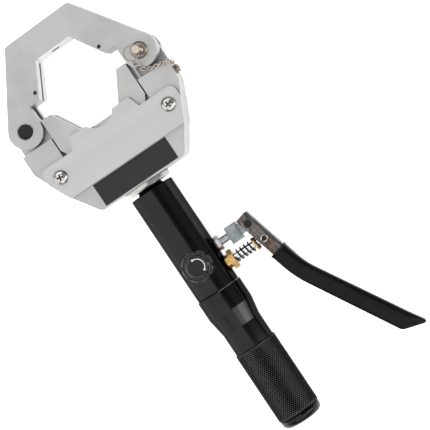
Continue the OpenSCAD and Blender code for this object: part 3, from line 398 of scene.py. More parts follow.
# Blue zinc plating on the machined fulcrum block: a cool grey satin
ZINC_BLOCK = Finish(
    "blue_zinc_plating", "#6C7173", "#888D8F", metallic=0.75, roughness=(0.34, 0.46), grain_mm=0.5,
    drift_mm=5.0, relief_mm=0.004,
)
# Zinc-plated stud: greyer and duller than the nut, with the light broken by its thread
THREADED_ZINC = Finish(
    "zinc_plated_thread", "#747A7B", "#A0A5A6", metallic=1.0, roughness=(0.3, 0.42), grain_mm=0.8,
    drift_mm=1.6, relief_mm=0.03, stretch=(1.0, 4.0, 4.0),
)
# Turned brass of the gland nut and the spring plate: warm yellow satin
TURNED_BRASS = Finish(
    "turned_brass", "#A5834F", "#BE9C66", metallic=1.0, roughness=(0.24, 0.36), grain_mm=0.35, drift_mm=4.0,
    relief_mm=0.002,
)
# Oil-blackened spring wire: nearly black, with a narrow gleam along it
SPRING_STEEL = Finish(
    "oil_black_spring_wire", "#0C0C0D", "#17171A", metallic=0.3, roughness=(0.24, 0.38), grain_mm=0.3,
    drift_mm=3.0, relief_mm=0.002,
)
# Pressed zinc-plated sheet of the lever, tarnished brown in patches
PRESSED_ZINC = Finish(
    "pressed_zinc_sheet", "#3A3735", "#6A6662", metallic=0.85, roughness=(0.26, 0.4), grain_mm=0.5,
    drift_mm=5.0, relief_mm=0.003, stretch=(1.0, 3.0, 1.0), spots="#4A342C",
)
# The same sheet on the bent back of the lever, polished by hands: grey, with a soft gleam
RUBBED_ZINC = Finish(
    "rubbed_zinc_sheet", "#4E5256", "#666B70", metallic=0.9, roughness=(0.26, 0.36), grain_mm=0.5,
    drift_mm=9.0, relief_mm=0.002,
)
# Dipped vinyl sleeve: deep black and glossy, with a slightly wavy skin
DIPPED_VINYL = Finish(
    "dipped_vinyl", "#0C0C0D", "#111112", metallic=0.0, roughness=(0.16, 0.24), grain_mm=5.0, drift_mm=30.0,
    relief_mm=0.02, gloss=0.1,
)
# Moulded black plastic of the release knob: nearly black, with a soft sheen
MOULDED_BLACK = Finish(
    "moulded_black_plastic", "#050505", "#090909", metallic=0.0, roughness=(0.22, 0.32), grain_mm=0.3,
    drift_mm=6.0, relief_mm=0.002, gloss=0.26,
)
# The same plastic on its eased rims, painted grey in places as a painted highlight
PLASTIC_RIM_HIGHLIGHT = Finish(
    "black_plastic_painted_rim_highlight", "#2C2C2C", "#8A8886", metallic=0.0, roughness=(0.25, 0.35), grain_mm=0.3,
    drift_mm=3.0, relief_mm=0.001,
)
# Smooth film of the bare panel: a matte black
PANEL_FILM = Finish(
    "matte_black_film", "#161616", "#1C1B1B", metallic=0.0, roughness=(0.4, 0.5), grain_mm=0.4,
    drift_mm=20.0, relief_mm=0.001, gloss=0.3,
)
# White pad-printed ink of the arrow: flat, a little greyed
WHITE_INK = Finish(
    "white_printing_ink", "#C6C6C6", "#DADADA", metallic=0.0, roughness=(0.4, 0.5), grain_mm=0.3,
    drift_mm=3.0, relief_mm=0.001,
)
# Moulded nitrile rubber of seals, washers and the bladder: dull black
NITRILE_RUBBER = Finish(
    "nitrile_rubber", "#0D0D0D", "#151515", metallic=0.0, roughness=(0.5, 0.66), grain_mm=0.4, drift_mm=5.0,
    relief_mm=0.004,
)


# Objects and their meshes


def placed(name: str, data: bpy.types.ID) -> bpy.types.Object:
    """Makes an object of a mesh, a light or a camera.

    Args:
        name: The object's name.
        data: What it shows.

    Returns:
        The object, at the origin.
    """
    piece = bpy.data.objects.new(name, data)
    bpy.context.scene.collection.objects.link(piece)
    return piece


@contextmanager
def opened(mesh: bpy.types.Mesh) -> Iterator[bmesh.types.BMesh]:
    """Opens a mesh for editing and writes it back.

    Args:
        mesh: The mesh.

    Yields:
        Its editable copy.
    """
    work = bmesh.new()
    work.from_mesh(mesh)
    yield work
    work.to_mesh(mesh)
    work.free()


def face_values(piece: bpy.types.Object, what: str) -> np.ndarray:
    """One property of all the faces of a piece.

    Args:
        piece: The piece.
        what: The property: center, normal or area.

    Returns:
        One value or vector per face: places in metres, areas in square metres.
    """
    faces = piece.data.polygons
    width = 1 if what == "area" else 3
    values = np.empty(len(faces) * width)
    faces.foreach_get(what, values)
    return values if width == 1 else values.reshape(-1, width)


def grid_faces(
    rows: int, columns: int, closed_rows: bool = False, closed_columns: bool = False
) -> np.ndarray:
    """Quads between the points of a grid stored row by row.

    Args:
        rows: Number of rows of points.
        columns: Number of points in a row.
        closed_rows: Whether the last row joins the first.
        closed_columns: Whether the last point of a row joins its first.

    Returns:
        One quad per line, as point numbers.
    """
    i = np.arange(rows if closed_rows else rows - 1)[:, None]
    j = np.arange(columns if closed_columns else columns - 1)[None, :]
    a = i * columns + j
    b = i * columns + (j + 1) % columns
    c = ((i + 1) % rows) * columns + (j + 1) % columns
    d = ((i + 1) % rows) * columns + j
    return np.stack([a, b, c, d], axis=-1).reshape(-1, 4)


def finished(
    name: str, points: np.ndarray, faces: np.ndarray, material: bpy.types.Material, sharp_deg: float = 35.0
) -> bpy.types.Object:
    """Makes an object of a closed grid: seams and poles merged, faces outwards, smooth up to an angle.

    Args:
        name: The piece's name.
        points: One point per line, in metres.
        faces: One quad per line.
        material: The finish of the whole piece.
        sharp_deg: Edges steeper than this stay sharp.

    Returns:
        The object, at the origin.
    """
    mesh = bpy.data.meshes.new(name)
    mesh.from_pydata(points.reshape(-1, 3).tolist(), [], faces.tolist())
    with opened(mesh) as work:
        bmesh.ops.remove_doubles(work, verts=work.verts, dist=SEAM)
        bmesh.ops.recalc_face_normals(work, faces=work.faces)
    mesh.shade_smooth()
    mesh.set_sharp_from_angle(angle=math.radians(sharp_deg))
    mesh.materials.append(material)
    return placed(name, mesh)


def rounded(profile: list[tuple[float, float]], fillet: float | list[float], steps: int = 5) -> np.ndarray:
    """Rounds the inner corners of a profile with arcs that leave both sides at equal lengths.

    Each corner becomes a quadratic curve from one side to the other, whose middle point is the corner
    itself.

    Args:
        profile: Points of two coordinates, such as [radius, place along the axis].
        fillet: Length taken from each side, for all corners or for each.
        steps: Points on each corner.

    Returns:
        The rounded profile, one point per line.
    """
    p = np.asarray(profile, float)
    t = np.linspace(0, 1, steps)[:, None]
    parts = [p[:1]]
    lengths = np.broadcast_to(fillet, len(p) - 2)
    for before, corner, after, length in zip(p[:-2], p[1:-1], p[2:], lengths):
        to_before, to_after = before - corner, after - corner
        cut_before = min(length / np.linalg.norm(to_before), CORNER_SHARE)
        cut_after = min(length / np.linalg.norm(to_after), CORNER_SHARE)
        a, b = corner + to_before * cut_before, corner + to_after * cut_after
        parts.append((1 - t) ** 2 * a + 2 * t * (1 - t) * corner + t**2 * b)
    parts.append(p[-1:])
    return np.concatenate(parts)


def turned(profile: np.ndarray, sides: int) -> np.ndarray:
    """Points of a profile turned about the Y axis.

    X and Z are the radius times sine and cosine of the turn, and Y is the place along the axis.

    Args:
        profile: Points of [radius, place along the axis], in metres.
        sides: Points round the axis.

    Returns:
        A grid of points, one row per profile point.
    """
    angle = np.linspace(0, 2 * np.pi, sides, endpoint=False)
    radius = profile[:, 0, None]
    place = np.broadcast_to(profile[:, 1, None], (len(profile), sides))
    return np.stack([radius * np.sin(angle), place, radius * np.cos(angle)], axis=-1)


def turned_piece(
    name: str,
    profile: list[tuple[float, float]],
    fillet_mm: float,
    material: bpy.types.Material,
    sides: int,
) -> bpy.types.Object:
    """A closed piece turned about the Y axis, with rounded corners.

    Args:
        name: The piece's name.
        profile: Points of [radius, place along the axis] in millimetres. They start and end on the axis, or
            are a loop beside it.
        fillet_mm: Length that each corner's arc takes from its sides.
        material: The finish.
        sides: Points round the axis.

    Returns:
        The piece.
    """
    outline = rounded(profile, fillet_mm) * MM
    faces = grid_faces(len(outline), sides, closed_rows=profile[0][0] > 0, closed_columns=True)
    return finished(name, turned(outline, sides), faces, material)


def tube(path: np.ndarray, radius: float, sides: int) -> tuple[np.ndarray, np.ndarray]:
    """A round tube along an open path, with its ends drawn to points.

    Each ring is the radius times cosine and sine along two directions across the path. The first is the
    cross product of the path's own direction and the one in which all of the path is longest.

    Args:
        path: Points of the centreline.
        radius: Radius of the tube.
        sides: Points round the tube.

    Returns:
        The points and the quads.
    """
    step = np.gradient(path, axis=0)
    ahead = step / np.linalg.norm(step, axis=1, keepdims=True)
    longest = np.linalg.svd(path - path.mean(axis=0))[2][0]
    aside = np.cross(ahead, np.broadcast_to(longest, ahead.shape))
    aside /= np.linalg.norm(aside, axis=1, keepdims=True)
    other = np.cross(ahead, aside)
    angle = np.linspace(0, 2 * np.pi, sides, endpoint=False)[None, :, None]
    rings = path[:, None] + radius * (np.cos(angle) * aside[:, None] + np.sin(angle) * other[:, None])
    ends = [np.repeat(path[k][None, None], sides, axis=1) for k in (0, -1)]
    grid = np.concatenate([ends[0], rings, ends[1]])
    return grid, grid_faces(len(grid), sides, closed_columns=True)


def eased_copy(
    source: bpy.types.Object,
    body: str,
    material: bpy.types.Material,
    ease_mm: float,
    sharp_deg: float = 30.0,
    edge_material: bpy.types.Material | None = None,
) -> bpy.types.Object:
    """A merged copy of a CAD node with small radii on its edges, which stands for the node.

    Args:
        source: The CAD node.
        body: The body it rides on.
        material: Its finish.
        ease_mm: Radius of the eased edges, or 0 to leave them.
        sharp_deg: Edges steeper than this are eased, apart from the short ones round small holes.
        edge_material: Finish of the eased edges, where it differs.

    Returns:
        The new piece.
    """
    node = source.name
    mesh = source.data.copy()
    mesh.name = node + "_eased"
    mesh.materials.clear()
    if "custom_normal" in mesh.attributes:
        mesh.attributes.remove(mesh.attributes["custom_normal"])
    with opened(mesh) as work:
        bmesh.ops.remove_doubles(work, verts=work.verts, dist=CAD_SEAM)
        bmesh.ops.dissolve_degenerate(work, dist=SLIVER, edges=work.edges)
        bmesh.ops.dissolve_limit(
            work,
            angle_limit=math.radians(FLAT_DEG),
            use_dissolve_boundaries=False,
            verts=work.verts,
            edges=work.edges,
        )
        weight = work.edges.layers.float.new("bevel_weight_edge")
        for edge in work.edges:
            steep = len(edge.link_faces) == 2 and edge.calc_face_angle() > math.radians(sharp_deg)
            edge[weight] = float(steep and edge.calc_length() > SHORT_EDGE_MM * MM)
    mesh.shade_smooth()
    mesh.set_sharp_from_angle(angle=math.radians(sharp_deg))
    mesh.materials.append(material)
    if edge_material is not None:
        mesh.materials.append(edge_material)
    piece = placed(node + "_dressed", mesh)
    if ease_mm > 0:
        bevel = piece.modifiers.new("eased_edges", "BEVEL")
        bevel.width = ease_mm * MM
        bevel.segments = 3
        bevel.limit_method = "WEIGHT"
        bevel.material = len(mesh.materials) - 1
        bevel.harden_normals = True
        bevel.use_clamp_overlap = True
    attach(piece, body)
    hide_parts(node)
    return piece


@dataclass
class Workshop:
    """What every sub-assembly needs: the frame and one material for each finish."""

    frame: dict[str, Any]
    materials: dict[str, bpy.types.Material] = field(default_factory=dict)

    def material(self, finish: Finish) -> bpy.types.Material:
        """The finish's material, made on its first use.

        Args:
            finish: The finish.

        Returns:
            Its material, the same one each time.
        """
        if finish.name not in self.materials:
            self.materials[finish.name] = finish.build()
        return self.materials[finish.name]

    def dress(self, node: str, finish: Finish) -> None:
        """Gives a CAD node, whose shape stays, the finish on its own mesh.

        Args:
            node: The CAD node's name.
            finish: Its finish.
        """
        mesh = self.frame["nodes"][node].data
        mesh.materials.clear()
        mesh.materials.append(self.material(finish))
        LOG.info("%s: CAD shape in %s", node, finish.name)

    def ease(
        self,
        node: str,
        body: str,
        finish: Finish,
        ease_mm: float,
        sharp_deg: float = 30.0,
        edge: Finish | None = None,
    ) -> bpy.types.Object:
        """Stands an eased copy of a CAD node in for it.

        Args:
            node: The CAD node's name.
            body: The body it rides on.
            finish: Its finish.
            ease_mm: Radius of its edges, or 0 to leave them.
            sharp_deg: Edges steeper than this are eased.
            edge: Finish of the eased edges, where it differs.

        Returns:
            The copy.
        """
        LOG.info("%s: edges eased by %.2f mm in %s", node, ease_mm, finish.name)
        rim = self.material(edge) if edge is not None else None
        piece = eased_copy(self.frame["nodes"][node], body, self.material(finish), ease_mm, sharp_deg, rim)
        return piece

    def split(self, piece: bpy.types.Object, finish: Finish, chosen: np.ndarray) -> None:
        """Gives some of a piece's faces a second finish.

        Args:
            piece: The piece.
            finish: The second finish.
            chosen: Whether each face gets it.
        """
        mesh = piece.data
        mesh.materials.append(self.material(finish))
        mesh.polygons.foreach_set("material_index", np.where(chosen, len(mesh.materials) - 1, 0))
        mesh.update()

    def add(self, piece: bpy.types.Object, body: str, *nodes: str) -> bpy.types.Object:
        """Rides a new piece on a body and lets it stand for CAD nodes.

        Args:
            piece: The new piece.
            body: The body it rides on.
            nodes: The CAD nodes that it replaces, if any.

        Returns:
            The same piece.
        """
        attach(piece, body)
        if nodes:
            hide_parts(*nodes)
        LOG.info("%s: new piece on %s", piece.name, body)
        return piece


@dataclass
class Head:
    """Jaw, base frame, die seat, hinge pin, and both cover plates with their screws and the bare panel.

    A die flat is a wall of more than flat_least_mm2, nearer than flat_reach_mm to the middle of the
    opening, whose normal's share towards that middle is above flat_inward.
    """

    shop: Workshop
    flat_reach_mm: float = 37.0
    flat_least_mm2: float = 60.0
    flat_inward: float = 0.8

    def grind(self, piece: bpy.types.Object) -> None:
        """Gives the die flats a ground finish.

        Args:
            piece: The jaw or the die seat.
        """
        places = face_values(piece, "center")[:, :2] / MM
        away = np.linalg.norm(places, axis=1)
        inward = -(places * face_values(piece, "normal")[:, :2]).sum(axis=1) / away
        large = face_values(piece, "area") > self.flat_least_mm2 * MM**2
        flats = large & (away < self.flat_reach_mm) & (inward > self.flat_inward)
        self.shop.split(piece, GROUND_FLAT, flats)

    def build(self) -> None:
        """Dresses every piece of the head."""
        shop = self.shop
        # The eased edges carry a painted highlight along them
        self.grind(shop.ease("upper_jaw", "jaw", FRAME_STEEL, ease_mm=0.6, edge=POLISHED_EDGE_HIGHLIGHT))
        shop.ease("base_frame", "base", FRAME_STEEL, ease_mm=0.6, edge=POLISHED_EDGE_HIGHLIGHT)
        self.grind(shop.ease("die_seat", "ram", FRAME_STEEL, ease_mm=0.5, edge=POLISHED_EDGE_HIGHLIGHT))
        for node in ("front_cover_plate", "rear_cover_plate"):
            shop.ease(node, "base", PLATE_STEEL, ease_mm=0.8, edge=POLISHED_EDGE_HIGHLIGHT)
        shop.ease("label_panel", "base", PANEL_FILM, ease_mm=0.12)
        shop.ease("hinge_pin", "base", BLACK_OXIDE, ease_mm=0.55, edge=POLISHED_EDGE_HIGHLIGHT)
        for node in ("front_screws", "rear_screws"):
            shop.ease(node, "base", SCREW_ZINC, ease_mm=0.12, sharp_deg=40.0)


@dataclass
class Latch:
    """Latch pin with its end face painted paler as painted light, pull ring, safety chain and the chain's
    screw.
    """

    shop: Workshop
    wire_more_mm: float = 0.14
    painted_face_mm: float = 0.1

    def build(self) -> None:
        """Dresses the latch pieces."""
        shop = self.shop
        pin = shop.ease("latch_pin", "latch", WARM_NICKEL, ease_mm=0.12, sharp_deg=12.0)
        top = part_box("latch_pin")[1].z / MM
        # The end face is painted paler than the sides: painted light on the face turned up to the lamps
        shop.split(pin, PIN_FACE_PAINTED_LIGHT, face_values(pin, "center")[:, 2] / MM > top - self.painted_face_mm)
        shop.ease("pull_ring", "latch", WARM_NICKEL, ease_mm=0.0)
        self.thicken(shop.ease("safety_chain", "base", DULL_NICKEL, ease_mm=0.0))
        shop.ease("chain_screw", "base", WARM_NICKEL, ease_mm=0.1)

    def thicken(self, chain: bpy.types.Object) -> None:
        """Makes the chain's wire a little thicker, each point moving out along its normal.

        Args:
            chain: The chain.
        """
        vertices = chain.data.vertices
        points, ways = np.empty(len(vertices) * 3), np.empty(len(vertices) * 3)
        vertices.foreach_get("co", points)
        chain.data.vertex_normals.foreach_get("vector", ways)
        vertices.foreach_set("co", points + ways * self.wire_more_mm * MM)


@dataclass
class PumpBody:
    """Collar, black tube, reservoir housing, knurled grip and end cap.

    The housing's upper chamfer carries a painted highlight to the right of seam_highlight_mm. A diamond of
    the knurl is knurl_round_mm wide and knurl_along_mm long, and its plain bands lie grip_band_drop_mm
    below the tips.
    """

    shop: Workshop
    housing_r_mm: float = 20.95
    housing_bore_r_mm: float = 15.5
    housing_fillet_mm: float = 0.3
    housing_sides: int = 192
    waist_r_mm: float = 18.2
    cone_top_mm: float = -232.0
    cone_foot_mm: float = -248.5
    seam_chamfer_mm: float = 0.6
    seam_highlight_mm: float = 2.0
    cap_r_mm: float = 18.75
    cap_corner_mm: float = 5.4
    cap_corner_points: int = 10
    cap_rim_mm: float = 0.3
    cap_plug_r_mm: float = 12.0
    cap_fillet_mm: float = 0.15
    cap_sides: int = 160
    grip_r_mm: float = 19.35
    grip_wall_mm: float = 3.2
    grip_chamfer_mm: float = 1.0
    grip_band_mm: float = 2.0
    grip_band_drop_mm: float = 0.2
    knurl_round_mm: float = 2.1
    knurl_along_mm: float = 2.84
    knurl_depth_mm: float = 0.55

    def build(self) -> None:
        """Dresses the body from the neck to the end cap."""
        shop = self.shop
        shop.ease("neck_collar", "base", BRIGHT_ZINC, ease_mm=0.1)
        shop.ease("neck_gland", "base", BLACK_ANODISED, ease_mm=0.0)
        shop.ease("pump_body", "base", BLACK_ANODISED, ease_mm=0.2)
        shop.add(self.housing(), "base", "reservoir_housing")
        shop.add(self.cap(), "base", "end_cap")
        shop.add(self.grip(), "base", "knurled_grip")
        shop.dress("oil_bladder", NITRILE_RUBBER)
        shop.dress("valve_balls", GROUND_STEEL)
        shop.dress("ram", GROUND_STEEL)
        shop.dress("ram_seal", NITRILE_RUBBER)

    def housing(self) -> bpy.types.Object:
        """The reservoir housing: one turned tube, whose full width narrows over a cone to the waist.

        Returns:
            The housing, with a painted highlight on the right of its upper chamfer.
        """
        low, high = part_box("reservoir_housing")
        top, foot = high.y / MM, low.y / MM
        full, waist, bore = self.housing_r_mm, self.waist_r_mm, self.housing_bore_r_mm
        cut = self.seam_chamfer_mm
        profile = [
            (bore, foot),
            (waist, foot),
            (waist, self.cone_foot_mm),
            (full, self.cone_top_mm),
            (full, top - cut),
            (full - cut, top),
            (bore, top),
        ]
        finish = self.shop.material(BLACK_ANODISED)
        piece = turned_piece("housing_tube", profile, self.housing_fillet_mm, finish, self.housing_sides)
        side, up, _ = face_values(piece, "center").T / MM
        # Painted highlight: the right part of the upper chamfer gets a bright metal colour
        self.shop.split(piece, CHAMFER_PAINTED_HIGHLIGHT, (up > top - cut) & (side > self.seam_highlight_mm))
        return piece

    def cap(self) -> bpy.types.Object:
        """The end cap: a plug in the grip, and a rim whose lower corner is a quarter of a circle.

        Returns:
            The cap.
        """
        low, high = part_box("end_cap")
        top, foot = high.y / MM, low.y / MM
        edge, rim, plug, reach = self.cap_r_mm, self.cap_rim_mm, self.cap_plug_r_mm, self.cap_corner_mm
        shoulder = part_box("knurled_grip")[0].y / MM - rim
        turn = np.linspace(0, np.pi / 2, self.cap_corner_points)
        profile = [
            (0.0, top),
            (plug, top),
            (plug, shoulder),
            (edge - rim, shoulder),
            (edge, shoulder - rim),
            *zip(edge - reach * (1 - np.cos(turn)), foot + reach * (1 - np.sin(turn))),
            (0.0, foot),
        ]
        finish = self.shop.material(BLACK_NYLON)
        return turned_piece("cap_plug", profile, self.cap_fillet_mm, finish, self.cap_sides)

    def grip(self) -> bpy.types.Object:
        """The knurled sleeve.

        Grooves run round the cylinder in two opposite screws. Half a pitch apart in both directions, the
        points of the grid are by turns a crossing of two grooves and the tip of a pyramid, and each cell
        is split from crossing to crossing. The grooves grow shallow on the plain bands at both ends.

        Returns:
            The sleeve, in one closed mesh.
        """
        low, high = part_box("knurled_grip")
        radius, length = self.grip_r_mm * MM, high.y - low.y
        chamfer, wall = self.grip_chamfer_mm * MM, self.grip_wall_mm * MM
        sides = 2 * int(round(2 * math.pi * radius / (self.knurl_round_mm * MM)))
        rows = int((length - 2 * chamfer) / (self.knurl_along_mm * MM / 2)) + 1
        y = np.linspace(low.y + chamfer, high.y - chamfer, rows)[:, None]
        angle = np.linspace(0, 2 * np.pi, sides, endpoint=False)[None, :]
        crossing = (np.arange(rows)[:, None] + np.arange(sides)[None, :]) % 2 == 0
        fade = np.clip((np.minimum(y - low.y, high.y - y) - chamfer) / (self.grip_band_mm * MM), 0, 1)
        groove, drop = self.knurl_depth_mm * MM, self.grip_band_drop_mm * MM
        skin = radius - groove * fade * crossing - drop * (1 - fade)
        y = np.broadcast_to(y, skin.shape)
        rings = [np.stack([skin * np.sin(angle), y, skin * np.cos(angle)], axis=-1)]
        ends = [(chamfer, high.y), (wall, high.y), (wall, low.y), (chamfer, low.y)]
        rings.append(turned(np.array([(radius - inset, place) for inset, place in ends]), sides))
        grid = np.concatenate(rings)
        quads = grid_faces(len(grid), sides, closed_rows=True, closed_columns=True)
        low_first = np.resize(crossing.ravel(), len(grid) * sides)[: len(quads)][:, None]
        a, b, c, d = quads.T[:, :, None]
        first = np.where(low_first, np.hstack([a, b, c]), np.hstack([a, b, d]))
        second = np.where(low_first, np.hstack([a, c, d]), np.hstack([b, c, d]))
        faces = np.concatenate([first, second])
        return finished("grip_sleeve", grid, faces, self.shop.material(KNURL_ANODISED), sharp_deg=20.0)


@dataclass
class ReleaseValve:
    """Release knob with its arrow, and the needle stem."""

    shop: Workshop
    arc_radius_mm: float = 6.5
    arc_width_mm: float = 0.7
    arc_from_deg: float = 107.0
    arc_to_deg: float = -63.0
    arc_points: int = 97
    head_mm: float = 1.9
    head_half_mm: float = 1.15
    tip_half_mm: float = 0.02
    ink_mm: float = 0.05

    def build(self) -> None:
        """Dresses the release valve."""
        shop = self.shop
        # The knob's eased rims carry a painted highlight
        shop.ease("release_knob", "knob", MOULDED_BLACK, ease_mm=0.35, edge=PLASTIC_RIM_HIGHLIGHT)
        shop.dress("release_stem", GROUND_STEEL)
        shop.add(self.arrow(), "knob")

    def arrow(self) -> bpy.types.Object:
        """A flat arc of ink on the knob's face with an arrow head at each end.

        The arc is a strip whose half width grows to the head's and falls to a point over the last part of
        its run.

        Returns:
            The ink, as a thin closed strip.
        """
        low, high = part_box("release_knob")
        centre = np.array([(low.x + high.x) / 2, (low.y + high.y) / 2])
        t = np.linspace(0, 1, self.arc_points)
        angle = np.radians(self.arc_from_deg + (self.arc_to_deg - self.arc_from_deg) * t)
        run = math.radians(abs(self.arc_to_deg - self.arc_from_deg)) * self.arc_radius_mm
        edge = np.minimum(t, 1 - t) * run
        head = edge / self.head_mm * self.head_half_mm
        half = np.where(edge < self.head_mm, head, self.arc_width_mm / 2) * MM
        half = np.maximum(half, self.tip_half_mm * MM)
        radius = self.arc_radius_mm * MM
        top, foot = high.z + self.ink_mm * MM, high.z - self.ink_mm * MM
        corners = [(half, top), (-half, top), (-half, foot), (half, foot)]
        rings = [
            np.stack(
                [
                    centre[0] + (radius + offset) * np.cos(angle),
                    centre[1] + (radius + offset) * np.sin(angle),
                    np.full_like(t, z),
                ],
                axis=-1,
            )
            for offset, z in corners
        ]
        grid = np.stack(rings, axis=1)
        ends = [np.repeat(grid[k].mean(axis=0)[None, None], len(corners), axis=1) for k in (0, -1)]
        grid = np.concatenate([ends[0], grid, ends[1]])
        faces = grid_faces(len(grid), len(corners), closed_columns=True)
        return finished("knob_arrow", grid, faces, self.shop.material(WHITE_INK), sharp_deg=30.0)


@dataclass
class PumpSide:
    """Lock nut, fulcrum block with its stud, gland nut, plunger, and the springs of plunger and ram."""

    shop: Workshop
    wire_mm: float = 0.7
    return_wire_mm: float = 1.1
    curls: float = 4.5
    curl_points: int = 40
    wire_sides: int = 14
    stud_end_mm: float = 33.2

    def build(self) -> None:
        """Dresses the pieces between the body and the lever."""
        shop = self.shop
        shop.ease("stud_washer", "base", NITRILE_RUBBER, ease_mm=0.1)
        shop.ease("lock_nut", "base", BRIGHT_ZINC, ease_mm=0.15)
        block = shop.ease("fulcrum_block", "base", ZINC_BLOCK, ease_mm=0.4)
        shop.split(block, THREADED_ZINC, face_values(block, "center")[:, 0] / MM < self.stud_end_mm)
        shop.ease("gland_nut", "base", TURNED_BRASS, ease_mm=0.2)
        shop.dress("plunger_seal", NITRILE_RUBBER)
        shop.ease("plunger", "plunger", GROUND_STEEL, ease_mm=0.2)
        shop.ease("spring_plate", "plunger", TURNED_BRASS, ease_mm=0.25)
        shop.ease("spring_washer", "plunger", NITRILE_RUBBER, ease_mm=0.15)
        spring = self.spring("plunger_coil", "plunger_spring", Axis.X, self.wire_mm)
        self.crush(spring)
        back = self.spring("return_coil", "return_spring", Axis.Y, self.return_wire_mm)
        self.crush(back)

    def crush(
        self,
        spring: bpy.types.Object,
    ) -> None:
        """Gives a spring a mesh of its own.

        Args:
            spring: The spring.
        """
        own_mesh(spring)

    def spring(self, name: str, node: str, axis: Axis, wire_mm: float) -> bpy.types.Object:
        """A helical spring in a CAD spring's place: a round wire along a screw line.

        The centreline is radius times cosine and sine of the turn, and pitch times the turn along the axis.

        Args:
            name: The new spring's name.
            node: The CAD spring's name.
            axis: The axis that it is wound about.
            wire_mm: Radius of its wire.

        Returns:
            The spring.
        """
        low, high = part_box(node)
        along, first, second = axis.value
        middle = (np.array(low) + np.array(high)) / 2
        wire = wire_mm * MM
        radius = (high[second] - low[second]) / 2 - wire
        share = np.linspace(0, 1, int(self.curls * self.curl_points) + 1)
        turn = 2 * np.pi * self.curls * share
        path = np.empty((len(share), 3))
        path[:, along] = low[along] + wire + (high[along] - low[along] - 2 * wire) * share
        path[:, first] = middle[first] - radius * np.sin(turn)
        path[:, second] = middle[second] + radius * np.cos(turn)
        grid, faces = tube(path, wire, self.wire_sides)
        piece = finished(name, grid, faces, self.shop.material(SPRING_STEEL), sharp_deg=60.0)
        return self.shop.add(piece, "base", node)


